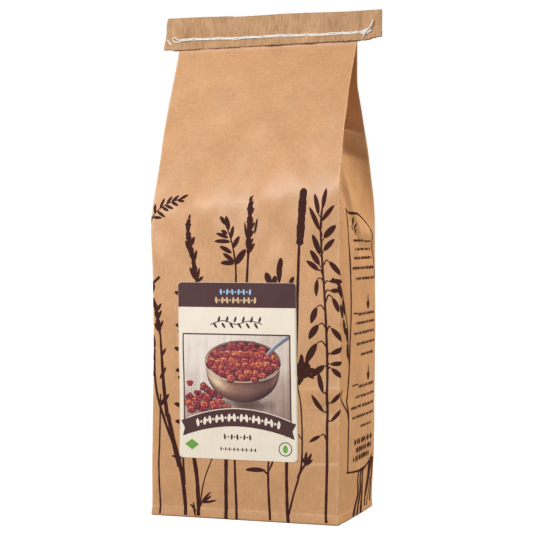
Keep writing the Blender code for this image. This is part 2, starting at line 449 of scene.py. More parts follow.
def paper_material(name, colour, clouds, fibres, roughness, relief, specular):
    """Paper or ink on paper: the shared tooth with this finish's own values and display colour."""
    mat, shader = plain_material(name, specular)
    tree = mat.node_tree
    tooth = tree.nodes.new("ShaderNodeGroup")
    tooth.node_tree = PAPER_TOOTH
    for label, value in (("Color", srgb(*colour)), ("Clouds", clouds), ("Fibres", fibres),
                         ("Roughness", roughness), ("Relief", relief)):
        tooth.inputs[label].default_value = value
    tree.links.new(tooth.outputs["Color"], shader.inputs["Base Color"])
    tree.links.new(tooth.outputs["Roughness"], shader.inputs["Roughness"])
    tree.links.new(tooth.outputs["Normal"], shader.inputs["Normal"])
    return mat


def crepe_light_and_shade(mat):
    """Crepe's painted light and shade: upright light and dark streaks for the lit and shaded sides of its
    fine pleats, and painted shade in patches where it is crumpled.
    """
    tree = mat.node_tree
    place = object_place(tree)
    pleat_light_and_shade = noise(tree, stretch(tree, place, (900, 900, 100)), 1.0, 4.0, 0.7)
    crumple_shade = noise(tree, stretch(tree, place, (75, 75, 40)), 1.0, 2.0)
    # painted light and shade of the pleats, and painted shade of the crumples
    value = mixture(tree, [(pleat_light_and_shade, 0.72), (crumple_shade, 0.28)])
    shades = [(0.30, (138, 98, 66)), (0.42, (180, 138, 100)), (0.66, (208, 168, 130))]
    tooth = next(node for node in tree.nodes if node.type == "GROUP")
    tree.links.new(colour_ramp(tree, value, shades), tooth.inputs["Color"])
    return mat


def paled_by_wear_and_highlight(mat, fresh, rubbed_and_highlit):
    """Kraft that is paler where the piece's stored number says so: along folds and creases, partly rubbed
    wear and partly a painted highlight.
    """
    tree = mat.node_tree
    tooth = next(node for node in tree.nodes if node.type == "GROUP")
    colour = colour_ramp(tree, stored(tree, "wear_and_highlight"), [(0.0, fresh), (1.0, rubbed_and_highlit)])
    tree.links.new(colour, tooth.inputs["Color"])
    return mat


def label_ink(name, red, green, blue):
    """A flat ink on the label's smooth paper."""
    return paper_material(name, (red, green, blue), 0.03, 0.05, 0.4, 0.2, 0.4)


KRAFT_COLOUR = (207, 155, 109)
CREPE_COLOUR = (200, 158, 118)
# kraft paler along folds and creases: rubbed wear plus a painted highlight
KRAFT = paled_by_wear_and_highlight(paper_material("kraft_paper", KRAFT_COLOUR, 0.075, 0.13, 0.43, 0.5, 0.42),
             KRAFT_COLOUR, (236, 196, 156))
INK = paper_material("brown_ink", (68, 38, 34), 0.05, 0.20, 0.7, 0.4, 0.06)
# the crepe's colour holds painted light and shade of its pleats and crumples
CREPE = crepe_light_and_shade(paper_material("crepe_paper", CREPE_COLOUR, 0.10, 0.12, 0.8, 0.7, 0.15))
LABEL_PAPER = paper_material("label_paper", (243, 231, 212), 0.012, 0.035, 0.45, 0.2, 0.3)
BAND_INK = paper_material("label_dark_ink", (84, 56, 57), 0.03, 0.08, 0.5, 0.2, 0.15)
TAIL_INK = paper_material("label_darker_ink", (70, 46, 46), 0.03, 0.06, 0.4, 0.2, 0.5)


# ---------------------------------------------------------------- the paper sack

def fold_stations(width, count, middle_fold):
    """Distances across one panel, close together at its folds (and at a middle fold)."""
    close = np.array([0.0, 0.3, 0.6, 1.0, 1.5, 2.2, 3.2]) * MM
    inner = np.linspace(close[-1], width / 2 - (close[-1] if middle_fold else 0), count)
    half = np.concatenate([close, inner[1:]])
    if middle_fold:
        half = np.concatenate([half, (width / 2 - close[::-1])[1:]])
    return np.concatenate([half, width - half[::-1][1:]])[:-1]


def fold_wear_and_highlight(s, z):
    """How pale the paper is painted: along its folds, and along a few creases low on the front; partly rubbed
    wear, partly a painted highlight along each fold and crease.
    """
    reach = np.abs((s + GIRTH / 2) % GIRTH - GIRTH / 2)
    fold_unevenness = 0.75 + 0.25 * np.sin(TAU * z / 0.041 + 3 * np.sin(TAU * z / 0.013))
    # painted highlight, with rubbed wear, along the front and back folds
    front_fold = bell(reach, CORNER_S - 0.3 * MM, 0.9 * MM)
    back_fold = bell(reach, BACK_CORNER_S, 0.8 * MM)
    wear_and_highlight = (0.5 * front_fold + 0.4 * back_fold) * fold_unevenness
    # painted highlight, with rubbed wear, along the bottom fold
    wear_and_highlight = wear_and_highlight + 0.45 * bell(z, BOTTOM_FOLD_Z, 0.8 * MM) * (0.7 + 0.3 * np.sin(TAU * s / 0.047))
    right_front = ease(s, 0.030, 0.062) * (s < CORNER_S)
    for height, strength in FRONT_CREASES:
        wear_and_highlight = wear_and_highlight + right_front * strength * bell(z - 0.05 * (s - 0.05), height, 1.1 * MM)
    return np.clip(wear_and_highlight, 0.0, 1.0)


def sack_paper():
    """The bag's wall as one closed-girth grid over all four panels, with its base, given thickness.

    Its rows lie close together at the bottom fold, at the front's creases and over the shoulder.
    """
    wide = fold_stations(WIDTH, 20, False)
    deep = fold_stations(DEPTH, 22, True)
    starts = (-CORNER_S, CORNER_S, BACK_CORNER_S, BACK_CORNER_S + WIDTH)
    s = np.concatenate([start + across for start, across in zip(starts, (wide, deep, wide, deep))])
    bottom_fold = np.array([0.0, 0.5, 1.0, 1.6, 2.6, 4.0, 5.6, 7.0, 7.6, 8.2, 9.2, 11.0]) * MM
    creases = np.array([height for height, _ in FRONT_CREASES])[:, None] + np.linspace(-3, 3, 7) * MM
    shoulder_low, shoulder_high = 0.2, 0.33
    shoulder = np.arange(shoulder_low, shoulder_high, 1.45 * MM)
    plain = np.concatenate([np.linspace(13 * MM, shoulder_low, 65), np.linspace(shoulder_high, MOUTH_Z, 22)])
    z = np.unique(np.concatenate([bottom_fold, creases.ravel(), shoulder, plain]))
    z = z[np.concatenate([[True], np.diff(z) > 0.25 * MM])]
    walls = wall(s[None, :], z[:, None])
    rim = walls[0]
    centre = np.array([0.0, rim[:, 1].mean(), 0.0])
    shrink = np.array([0.0, 0.25, 0.5, 0.75, 0.9, 0.97, 0.985, 0.994])[:, None, None]
    base = centre + (rim - centre)[None] * np.maximum(shrink, 0.001)
    base[..., 2] = 0.8 * MM * (1 - ease(shrink[..., 0], 0.965, 1.0))
    points = np.concatenate([base, walls])
    rows, columns = points.shape[:2]
    faces = grid_faces(rows, columns, closed=True)
    hub = list(range(columns - 1, -1, -1))
    obj = new_piece("sack_paper", points, faces, KRAFT, faces_extra=[hub])
    # stored paleness: rubbed wear plus a painted highlight along folds and creases
    wear_and_highlight = np.concatenate([np.zeros(base.shape[:2]), fold_wear_and_highlight(s[None, :], z[:, None])])
    store(obj, "wear_and_highlight", wear_and_highlight)
    thicken(obj, PAPER)
    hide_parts("outer_sack")


def back_seam():
    """The pasted lap down the back: a strip of the same paper, one edge turned on to the wall."""
    centre_s = GIRTH / 2 + 0.022
    half_lap = 7.0 * MM
    across = np.linspace(-half_lap, half_lap, 15)
    lift = np.where(across >= half_lap - 0.1 * MM, 0.02, 0.34) * MM
    z = np.linspace(1.5 * MM, 0.376, 150)
    grid = on_wall(centre_s + across[None, :], z[:, None], np.broadcast_to(lift, (len(z), len(across))))
    thicken(patches_piece("back_seam", [(grid, False)], KRAFT), PAPER / 2)


def bottom_flap(name, edge, low_z, thickness):
    """One glued bottom flap, seen from below: flat, from its left edge in millimetres to its mirror."""
    left = np.array(edge) * MM
    right = left * (-1, 1)
    t = np.linspace(0, 1, 12)[None, :, None]
    points = left[:, None] * (1 - t) + right[:, None] * t
    points = np.concatenate([points, np.full((*points.shape[:2], 1), low_z)], axis=2)
    thicken(patches_piece(name, [(points[::-1], False)], KRAFT, smooth=False), thickness)


def bottom_flaps():
    """The square bottom's two long flaps, pasted one over the other."""
    half_w, front, back = WIDTH / MM / 2 - 3.2, -DEPTH / MM / 2 + 3.2, DEPTH / MM / 2 - 7.4
    bottom_flap("inner_bottom_flap", [(-half_w, back), (-half_w + 2, 10), (-half_w + 30, -16)],
                0.46 * MM, 0.18 * MM)
    bottom_flap("outer_bottom_flap", [(-half_w + 30, 14), (-half_w + 2, -8), (-half_w, front)],
                0.2 * MM, 0.16 * MM)


# ---------------------------------------------------------------- printed plants

INK_STAND_OFF = 0.05 * MM
INK_STEP, INK_LAYERS = 0.0004 * MM, 120
INK_LOW_Z = 0.35 * MM               # no ink below this
BEND_STEP = 0.34 * MM               # a stroke's mesh along it where it bends round a fold
BEND_WIDTH = 0.17 * MM              # and across it
ink_layer = {"count": 0}


def ink_stand_off():
    """Each printed shape a hair above the last, so that overlapping shapes don't flicker."""
    ink_layer["count"] += 1
    return INK_STAND_OFF + INK_STEP * (ink_layer["count"] % INK_LAYERS)


def ribbon(path, half_widths, across, lay=on_wall, stand_off=None):
    """A printed stroke: points either side of a path by its half width, laid on a surface.

    Where it comes near a front fold its grid is made fine enough to bend round the fold.
    """
    path, half_widths = np.asarray(path, float), np.asarray(half_widths, float)
    reach = np.abs(path[:, 0]) - CORNER_S
    near_fold = reach.min() < half_widths.max() + 1 * MM and reach.max() > -half_widths.max() - 1 * MM
    if lay is on_wall and near_fold:
        run = np.concatenate([[0], np.cumsum(np.linalg.norm(np.diff(path, axis=0), axis=1))])
        fine = np.linspace(0, run[-1], int(run[-1] / BEND_STEP) + 2)
        path = np.stack([np.interp(fine, run, path[:, 0]), np.interp(fine, run, path[:, 1])], axis=1)
        half_widths = np.interp(fine, run, half_widths)
        across = int(half_widths.max() / BEND_WIDTH) + 2
    along = np.gradient(path, axis=0)
    along /= np.maximum(np.linalg.norm(along, axis=1, keepdims=True), 1e-9)
    leftward = np.stack([-along[:, 1], along[:, 0]], axis=1)
    side = np.linspace(1, -1, across + 1)
    flat = path[:, None] + leftward[:, None] * (half_widths[:, None] * side)[..., None]
    flat[..., 1] = np.maximum(flat[..., 1], INK_LOW_Z)
    lift = ink_stand_off() if stand_off is None else stand_off
    lift = np.full(flat.shape[:2], lift)
    if lay is on_wall:
        lift = lift + 0.09 * MM * bell(np.abs(flat[..., 0]), CORNER_S, 0.7 * MM)
        on_side = ramp(np.abs(flat[..., 0]), CORNER_S + 1 * MM, CORNER_S + 6 * MM)
        lift = lift + 0.07 * MM * on_side * ease(flat[..., 1], 0.17, 0.20)
    return lay(flat[..., 0], flat[..., 1], lift), False


def wobble(run, seed, size, length):
    """A hand-cut edge: slow and quick sine waves with a phase of its own."""
    slow = np.sin(TAU * run / length + seed * 2.4)
    quick = np.sin(TAU * run / (0.41 * length) + seed * 5.1)
    return size * (slow + 0.6 * quick)


def stem(points, foot, tip, seed=1.0):
    """A plant's stem through points in millimetres, from its foot's width to its tip's."""
    path = smooth_path(np.array(points) * MM, 1.1 * MM)
    t = np.linspace(0, 1, len(path))
    run = t * len(path) * 1.1
    half = (foot + (tip - foot) * t) / 2 * (1 + wobble(run, seed, 0.05, 17.0))
    return ribbon(path, half * MM, 2)


def leaf(foot, angle, length, breadth, bend=0.0, belly=0.48, lay=on_wall, stand_off=None, blunt=0.58):
    """A leaf: a bent midrib whose half width rises to its belly and falls to a more or less blunt tip.

    Millimetres, and degrees anticlockwise from the direction of s.
    """
    t = np.linspace(0, 1, 13)
    heading = np.radians(angle) + math.radians(bend) * (t - 0.2)
    steps = np.stack([np.cos(heading), np.sin(heading)], axis=1) * length / (len(t) - 1)
    path = np.array(foot) + np.concatenate([[[0.0, 0.0]], np.cumsum(steps, axis=0)[:-1]])
    power = math.log(0.5) / math.log(belly)
    half = breadth / 2 * np.sin(math.pi * t ** power) ** blunt + 0.004
    return ribbon(path * MM, half * MM, 4, lay, stand_off)


def leaves(rows, curl=0.0):
    """A leaf for each row of foot, angle, length, breadth and bend; without a bend it curls outwards."""
    shapes = []
    for foot, angle, length, breadth, *bend in rows:
        outward = curl if angle > 90 else -curl
        shapes.append(leaf(foot, angle, length, breadth, bend[0] if bend else outward))
    return shapes


def heading_at(path, i):
    """A path's direction at its i-th point, in degrees."""
    ahead = path[i + 1] - path[i]
    return math.degrees(math.atan2(ahead[1], ahead[0]))


def leafy_stem(points, foot, tip, count, length, breadth, angle, droop, start, petiole, seed):
    """A stem with leaves up it, left and right in turn, smaller towards the tip."""
    shapes = [stem(points, foot, tip, seed)]
    path = smooth_path(np.array(points, float), 1.0)
    for k in range(count):
        place = start + (1 - start) * (k + 0.5) / count
        i = min(int(place * (len(path) - 1)), len(path) - 2)
        size = (1.0 - 0.35 * place) * (1 + 0.14 * math.sin(3.7 * k + seed))
        hand = 1 if k % 2 else -1
        turn = heading_at(path, i) + hand * (angle + 9 * math.sin(2.3 * k + 2 * seed))
        bough = np.array([math.cos(math.radians(turn)), math.sin(math.radians(turn))])
        joint = path[i] + bough * petiole
        shapes.append(stem([path[i], path[i] + bough * petiole * 0.55, joint], 0.9, 0.6, seed + k))
        shapes.append(leaf(joint - bough * 0.4, turn - hand * droop * 0.4, length * size, breadth * size,
                           bend=-hand * droop))
    shapes.append(leaf(path[-2], heading_at(path, -2), length * 0.75, breadth * 0.7))
    return shapes


def lumpy_head(points, breadth, lumps, seed, blunt=0.16, rough=1.0):
    """A grass ear or a reed head: a thick stroke with lumpy edges."""
    path = smooth_path(np.array(points, float) * MM, 0.45 * MM)
    t = np.linspace(0, 1, len(path))
    body = np.clip(np.minimum(t, 1 - t) / blunt, 0, 1) ** 0.5
    large = 0.22 * np.sin(TAU * lumps * t + seed)
    small = 0.13 * np.sin(TAU * lumps * 2.7 * t + 2 * seed)
    half = breadth / 2 * body * (1 + rough * (large + small)) + 0.01
    return ribbon(path, half * MM, 4)


def grain_ear(points, breadth, grains, seed, awns):
    """A wheat-like ear: a stem packed with grains that point up and out, every third with an awn."""
    path = smooth_path(np.array(points, float), 1.0)
    shapes = [lumpy_head(points, breadth * 0.72, grains / 3, seed)]
    for k in range(grains):
        place = (k + 0.3) / grains
        i = min(int(place * (len(path) - 1)), len(path) - 2)
        heading = heading_at(path, i)
        hand = 1 if k % 2 else -1
        size = breadth * (1.05 - 0.45 * place) * (1 + 0.2 * math.sin(5.1 * k + seed))
        turn = heading + hand * (17 + 8 * math.sin(3.1 * k + seed))
        shapes.append(leaf(path[i], turn, size * 1.5, size * 0.42, bend=hand * 14))
        if k % 3 == 0:
            shapes.append(leaf(path[i], heading + hand * 16, size * 1.5 + awns, 0.5, bend=hand * 6))
    return shapes


def thistle(centre, radius, spikes, stalk):
    """A spiky flower head: leaves all round a lumpy heart, on its stalk."""
    shapes = [stem(stalk, 1.5, 1.0)]
    shapes.append(lumpy_head([(centre[0], centre[1] - radius * 0.62), (centre[0] + 0.5, centre[1]),
                              (centre[0], centre[1] + radius * 0.62)], radius * 1.25, 3.0, 0.5, 0.4))
    for k in range(spikes):
        angle = 360 * k / spikes + 11 * math.sin(2.9 * k)
        reach = radius * (0.82 + 0.22 * math.sin(4.3 * k + 1))
        shapes.append(leaf(centre, angle, reach * 1.1, radius * 0.34, bend=20 * math.sin(k), belly=0.6))
    return shapes


def shifted(points, shift, flip):
    """Plant points moved along s, and mirrored if flip is -1."""
    return [(shift + flip * s, z) for s, z in points]


def hung_leaf(joint, hand, rise, reach, angle, length, breadth, bend):
    """A leaf on an arching stalk: up and out from the plant's stem, then the leaf at its own angle."""
    joint = np.array(joint, float)
    top = joint + np.array([hand * reach * 0.5, rise])
    end = joint + np.array([hand * reach, rise * 0.75])
    stalk = stem([joint, top, end], 1.3, 0.9, length)
    return [stalk, leaf(end, angle, length, breadth * 0.82, bend, blunt=0.72)]


def tall_plant():
    """The big leafy plant near the right fold."""
    main_stem = [(68, 0.4), (68.2, 66), (68, 125), (66, 173), (64, 203), (63, 230), (65, 251)]
    shapes = [stem(main_stem, 2.3, 1.4, 4.0)]
    upright = [((61.5, 241), 100, 17, 3.7), ((64.8, 246), 82, 16, 3.6), ((64, 236), 54, 16, 3.6),
               ((62, 229), 112, 20, 3.9), ((65.5, 223), 48, 14, 5.2), ((65, 213), 48, 13, 4.2),
               ((62, 210), 108, 17, 4.4), ((61.6, 202), 120, 14, 4.6)]
    for foot, angle, length, breadth in upright:
        shapes.append(stem([(63.6, foot[1] - 5), (63.8, foot[1] - 2.5), foot], 1.2, 1.0))
        shapes.append(leaf(foot, angle, length, breadth, 8 if angle > 90 else -8))
    hanging = [((64, 195), -1, 3.5, 3, 138, 13, 5.2, 20), ((65, 202), 1, 4, 4, -44, 15, 5.4, -14),
               ((66, 188), 1, 2, 3, 2, 14, 4.4, -18), ((66, 180), 1, 3, 4, 2, 9, 4.4, -10),
               ((65, 190), -1, 2, 5, -98, 14, 4.4, 14), ((66, 172), 1, 7, 6, -62, 13, 5.0, -18),
               ((66.5, 166), -1, 5, 7, -112, 14, 6.0, 12), ((67, 153), -1, 4, 6, -128, 14, 6.6, 16),
               ((67.6, 150), 1, 5, 3, -46, 15, 5.2, -10), ((67.8, 138), -1, 5, 8, -122, 19, 7.0, 10),
               ((68, 131), 1, 3, 2, 22, 13, 5.0, 10), ((68, 124), 1, 2, 2, 4, 12, 4.6, 8),
               ((68, 120), 1, 3, 3, -36, 12, 5.2, -12), ((68, 126), -1, -2, 2, -142, 14, 6.2, 12)]
    for joint, hand, rise, reach, angle, length, breadth, bend in hanging:
        shapes += hung_leaf(joint, hand, rise, reach, angle, length, breadth, bend)
    for joint, hand, angle, length, breadth in (((68, 101), -1, 108, 17, 5.0), ((68, 86), -1, 128, 17, 4.8),
                                                ((68, 93), 1, 42, 13, 4.0), ((68, 79), 1, 46, 13, 3.8)):
        shapes += hung_leaf(joint, hand, 2.6, 2.8, angle, length, breadth, hand * 12)
    return shapes + hung_leaf((68, 66), -1, 5, 5, 208, 11, 3.7, 12)


def foreground_stems():
    """The stems that stand in front of and under the label, by their widths, and what grows on them."""
    shapes = []
    for k, (foot, tip, points) in enumerate([
            (1.6, 1.3, [(-70.4, 0.4), (-72, 39), (-71.5, 60), (-71.4, 98)]),
            (3.0, 3.6, [(-48.6, 0.4), (-52.6, 37), (-60, 63), (-65, 82)]),
            (3.4, 1.8, [(-65.5, 80), (-68.5, 104), (-70.5, 126), (-72, 146)]),
            (2.6, 1.6, [(-54.6, 40), (-60, 59), (-66, 73), (-73, 93), (-76.4, 112), (-77, 134)]),
            (1.8, 1.8, [(-49.8, 26), (-51, 47), (-52, 60)]),
            (3.2, 3.4, [(-38, 0.4), (-39.4, 30), (-42, 48), (-44, 60)]),
            (1.3, 1.0, [(-38, 1.5), (-36.4, 15), (-33, 32), (-26, 50)]),
            (3.0, 3.0, [(-15, 0.4), (-15.2, 24), (-15, 60)]),
            (2.2, 1.9, [(-6, 0.4), (-7, 23), (-8.2, 60)]),
            (2.2, 1.5, [(22, 0.4), (20.2, 36), (21.4, 60)]),
            (2.7, 2.2, [(37, 0.4), (36, 18), (36, 60), (42, 110), (44, 187), (45.4, 218)]),
            (1.8, 1.0, [(37, 5), (41, 21), (47, 43), (48, 67), (46.6, 93), (44, 108)]),
            (1.8, 2.0, [(44.6, 35.4), (47.2, 41.6), (51.2, 47.6)])]):
        shapes.append(stem(points, foot, tip, 1.3 * k))
    return shapes + leaves([
            ((-36, 13), 46, 12, 1.9, 0), ((-35.6, 13), 28, 10, 2.0, 24), ((-35.8, 12.4), 8, 13, 2.0, 14),
            ((-40.4, 1), 104, 12, 2.0, -10), ((-40, 5), 132, 8, 1.8, 10), ((-38, 8), 62, 6, 1.6, 0),
            ((-52, 47), 164, 9, 2.6, 20), ((21, 36), 128, 7, 1.6, 50), ((18, 40.6), 178, 17, 3.8, 12),
            ((20.6, 40), 66, 13, 1.6, 16), ((51, 46), 90, 11, 2.8, -12), ((51, 46), 62, 11, 2.6, 10),
            ((50.6, 46), 36, 8, 2.2, 14), ((51, 46.4), 118, 7, 2.2, 0), ((47.6, 66), 124, 7, 1.0, 0)])


def front_plants():
    """The meadow printed on the front, behind and round the label."""
    shapes = foreground_stems() + tall_plant()
    twig = [(-79, 234), (-75, 243), (-66, 250), (-53, 255)]
    sprig = smooth_path(twig, 1.0)
    shapes.append(stem(twig, 1.0, 0.7))
    for place, turn, length in (
            (0.16, 60, 7), (0.22, -70, 8), (0.34, 44, 8), (0.42, -78, 9), (0.52, 34, 9), (0.56, -60, 7),
            (0.68, 30, 8), (0.66, -52, 8), (0.8, 22, 8), (0.82, -46, 7), (0.93, -30, 7), (0.99, 4, 8)):
        i = int(place * (len(sprig) - 2))
        shapes.append(leaf(sprig[i], heading_at(sprig, i) + turn, length, 2.5))
    left_ear = [(-40.5, 187), (-42.5, 201), (-45.5, 218), (-46.6, 231), (-45, 242)]
    shapes.append(lumpy_head(left_ear, 3.8, 5.0, 1.2, 0.2))
    shapes += leaves([((-41, 187), 76, 13, 2.8), ((-42, 190), 114, 11, 2.8), ((-43, 203), 74, 11, 2.8),
                      ((-45, 212), 112, 10, 3.6), ((-45, 216), 66, 9, 3.0), ((-46, 226), 104, 8, 2.6),
                      ((-40, 188), 40, 7, 2.6)])
    shapes.append(stem([(-7, 186), (-7, 201), (-9, 215), (-12, 225), (-16.5, 236)], 1.7, 1.0, 0.6))
    shapes += leaves([((-15, 233), 124, 9, 3.6), ((-13, 229), 100, 12, 3.8), ((-14, 226), 146, 6, 3.2),
                      ((-13, 223), 158, 11, 3.2), ((-11, 220), 176, 14, 3.4), ((-11, 222), 82, 11, 3.2),
                      ((-9, 215), 64, 11, 3.8), ((-10, 211), 150, 12, 3.8), ((-8, 204), 142, 12, 3.8),
                      ((-8, 203), 176, 12, 4.0), ((-7, 202), 58, 15, 5.4)], curl=10)
    shapes.append(stem([(2, 186), (3, 203), (3.6, 216)], 1.9, 1.8, 2.2))
    shapes += grain_ear([(3, 210), (4.6, 232), (5, 256)], 5.8, 15, 1.7, awns=2.0)
    shapes += leaves([((2.4, 222), 98, 14, 2.0), ((8.6, 226), 80, 13, 2.0)])
    for foot, angle, length, breadth in (
            ((22, 186), 112, 11, 5.4), ((24, 185), 78, 9, 4.4), ((29, 187), 90, 19, 4.6),
            ((29, 196), 84, 12, 4.4), ((37, 186), 62, 8, 3.4)):
        shapes.append(leaf(foot, angle, length, breadth, belly=0.55))
    shapes.append(lumpy_head([(45.8, 217), (47.4, 239), (49.2, 262)], 6.3, 2.6, 2.9, 0.05, 0.35))
    shapes += thistle((47.5, 120.5), 11.0, 13, [(44, 105), (44.6, 112), (47, 118)])
    shapes.append(lumpy_head([(-72, 145), (-73.4, 153), (-75, 163), (-77.2, 175)], 3.3, 5.0, 0.5, 0.2))
    shapes += leaves([((-73, 150), 62, 8, 2.4), ((-74, 158), 66, 8, 2.4), ((-75, 164), 58, 8, 2.6),
                      ((-73, 148), 118, 8, 3.0), ((-76, 168), 112, 8, 3.0), ((-72, 110), 62, 11, 2.8),
                      ((-72, 88), 52, 13, 3.6), ((-76, 124), 118, 9, 2.6), ((-77, 134), 96, 12, 3.0),
                      ((-76.6, 112), 126, 8, 2.6), ((-71, 128), 60, 8, 2.4)])
    for k, z in enumerate((76, 88.5, 110, 117, 133, 147, 153, 177.5)):
        shapes.append(leaf((-52.6, z), 172 - 14 * (k % 3), 6.0 + 1.6 * math.sin(2.1 * k), 3.4, 14))
    return shapes


def side_plants(centre, flip):
    """On a side panel: a bough hanging round the front fold, a thin twig, and roots at the foot.

    Distances are from the panel's middle, so the front fold is at -52 mm.
    """
    def at(points):
        return shifted(points, centre, flip)

    def turned(angle):
        return angle if flip > 0 else 180 - angle

    shapes = [stem(at([(-58, 192), (-48, 182), (-40, 166), (-33, 148), (-30, 124)]), 2.2, 1.6, 0.3)]
    for foot, angle, length, breadth in (
            ((-53, 187), -66, 12, 5.4), ((-46, 176), -68, 14, 6.0), ((-51, 172), -64, 13, 5.6),
            ((-45, 160), -66, 14, 6.2), ((-38, 153), -72, 13, 5.6), ((-35, 141), -82, 13, 5.4)):
        shapes.append(leaf(at([foot])[0], turned(angle), length, breadth))
    shapes.append(stem(at([(-46, 105), (-49, 99), (-42, 92), (-34, 86), (-30, 77)]), 1.6, 2.4, 1.0))
    for k, (foot, tip, points) in enumerate([
            (5.5, 4.0, [(-13, 0.4), (-6, 8), (2, 18), (-1, 29), (1, 37)]),
            (4.5, 5.5, [(-2, 0.4), (5, 10), (9, 20), (8, 30), (11, 37)]),
            (6.5, 4.5, [(10, 0.4), (14, 10), (15, 22), (16, 36)]),
            (4.0, 7.0, [(24, 5), (27, 14), (33, 26), (38, 40)]), (3.5, 5.5, [(27, 12), (35, 24), (44, 42)]),
            (3.5, 4.5, [(44, 6), (45, 20), (48, 42)]), (2.0, 2.6, [(0, 2), (7, 14), (9, 22)]),
            (2.6, 2.0, [(31, 4), (38, 14), (41, 26)])]):
        shapes.append(stem(at(points), foot, tip, k))
    return shapes


def side_frame(centre, flip):
    """The plain ruled frame on a side panel: a leaning outline with rows of short leaves in it.

    A row is its height on the bag, its start and stop, and how tall it is; a very low row is a rule.
    """
    def at(points):
        return shifted(points, centre, flip)

    outline = [
        ([(-32, 247), (-28, 232), (-26, 212), (-25, 178), (-28, 127), (-32, 101), (-35, 95), (-32, 87),
          (-30, 78), (-30, 38)], 3.2, 3.2),
        ([(-32, 247), (-27, 245), (-20, 243)], 1.2, 1.8),
        ([(-20, 243), (-4, 242.6), (11, 243)], 2.0, 1.8),
        ([(11, 243), (27, 238), (40, 226), (47, 209), (50, 190)], 1.8, 1.6),
        ([(-33, 38.6), (-18, 37.4), (-5, 36.6)], 1.4, 1.8),
        ([(-5, 36.6), (8, 35.6), (21, 36)], 1.8, 3.0),
        ([(21, 36), (33, 39), (46, 45)], 2.2, 1.4)]
    shapes = [stem(at(points), first, last, 0.0) for points, first, last in outline]
    rows = [(221, -12, 18, 2.0), (220.4, 20, 38, 1.1), (214, -8, 40, 2.0), (207, -11, 42, 2.2),
            (199, -18, 46, 2.4), (190.5, -9, 47, 2.2), (163, -18, -6, 1.2), (162, -4, 48, 2.4),
            (155, -12, 48, 2.2), (147, -16, 48, 2.2), (138.5, -9, 48, 2.2), (129.5, 3, 45, 2.2),
            (106, -20, -2, 1.2), (104, 1, 46, 2.6), (96, -10, 47, 2.2), (88, -23, 47, 2.4),
            (80, -17, 45, 2.2), (71.5, 7, 38, 2.2), (60, -11, 44, 4.4), (53.4, -7, 41, 4.4),
            (47, -15, 36, 4.4)]
    rule_height = 1.5
    for k, (z, start, stop, height) in enumerate(rows):
        if height < rule_height:
            shapes.append(stem(at([(start, z), ((start + stop) / 2, z), (stop, z)]), height, height, 0.0))
            continue
        s, j = start, 0
        while s < stop:
            tall = 1.45 * height * (0.8 + 0.2 * math.sin(5.3 * k + 2.9 * j))
            shapes.append(leaf(at([(s, z - tall / 2)])[0], 90 + 12 * math.sin(3.7 * j + k), tall, 2.9))
            s, j = s + 3.3 + 1.6 * (math.sin(2.3 * j + k) > 0.8), j + 1
    for foot, angle, length in (
            ((-9, 232), 96, 8.0), ((-7, 228), 60, 8.0), ((-10, 229), 140, 6.0), ((-4, 225), 66, 6.0)):
        shapes.append(leaf(at([foot])[0], angle, length, 2.6))
    for z in (165, 107):
        for angle in (90, 58, 122):
            shapes.append(leaf(at([(27, z)])[0], angle, 13.0 if angle == 90 else 8.0, 3.4, 0))
    return shapes


def back_plants(centre):
    """A plainer meadow on the back: leafy stems, ears and reeds."""
    shapes = []
    plants = [(-66, 252, "leafy"), (-50, 214, "ear"), (-33, 240, "reed"), (-17, 196, "leafy"),
              (-2, 246, "ear"), (12, 210, "reed"), (42, 256, "ear"), (56, 224, "leafy"), (69, 244, "reed")]
    for k, (place, height, kind) in enumerate(plants):
        s = centre + place
        lean = 5 * math.sin(1.7 * k + 0.6)
        points = [(s, 0.6), (s + lean * 0.3, height * 0.4), (s + lean, height * 0.8)]
        tip = (s + lean * 1.3, height)
        if kind == "leafy":
            shapes += leafy_stem(points + [tip], 2.4, 0.9, 17, 13.0, 4.8, 44, 26, 0.2, 2.6, k)
        elif kind == "ear":
            shapes.append(stem(points, 2.6, 1.4, k))
            shapes += grain_ear([points[2], tip], 6.0, 15, k, awns=4.0)
        else:
            shapes.append(stem(points, 2.2, 1.3, k))
            shapes.append(lumpy_head([points[2], tip], 5.6, 4.0, k, 0.12))
            shapes.append(leaf(points[1], 90 - 30 * (-1) ** k, 24, 4.4, 30 * (-1) ** k))
    return shapes


def print_on_sack():
    """All the sack's print, one piece for each printed panel."""
    right_centre = (CORNER_S + DEPTH / 2) / MM
    patches_piece("front_print", front_plants(), INK)
    for name, centre, flip in (("right_side_print", right_centre, 1), ("left_side_print", -right_centre, -1)):
        patches_piece(name, side_plants(centre, flip) + side_frame(centre, flip), INK)
    patches_piece("back_print", back_plants(GIRTH / 2 / MM), INK)


# ---------------------------------------------------------------- the label

LABEL_LEFT_S = (label_low.x + label_high.x) / 2 - LABEL_WIDTH / 2 - 1.5 * MM
LABEL_TURN = math.radians(0.1)      # how far its foot turns from level
LABEL_LEAN = math.radians(1.0)      # and how far its sides lean to the left
LABEL_CORNER = 3.0 * MM
LABEL_LIFT = 0.16 * MM
LABEL_THICKNESS = 0.11 * MM
PRINT_LIFT = 0.02 * MM              # one layer of print; later layers lie a few of these higher
PRINT_ROUGHNESS = 0.42


def on_label(a, b, lift):
    """A place on the label's face, a across and b up from its lower left corner."""
    a, b = np.broadcast_arrays(np.asarray(a, float), np.asarray(b, float))
    across, up = a - LABEL_WIDTH / 2, b - LABEL_HEIGHT / 2
    s = LABEL_LEFT_S + LABEL_WIDTH / 2 + across * math.cos(LABEL_TURN) - up * math.sin(LABEL_LEAN)
    z = label_low.z + LABEL_HEIGHT / 2 + across * math.sin(LABEL_TURN) + up * math.cos(LABEL_LEAN)
    curl = 0.35 * MM * bell(a, 0.0, 5 * MM) * bell(b, 0.0, 7 * MM)
    return on_wall(s, z, LABEL_LIFT + LABEL_THICKNESS + np.asarray(lift) + curl)


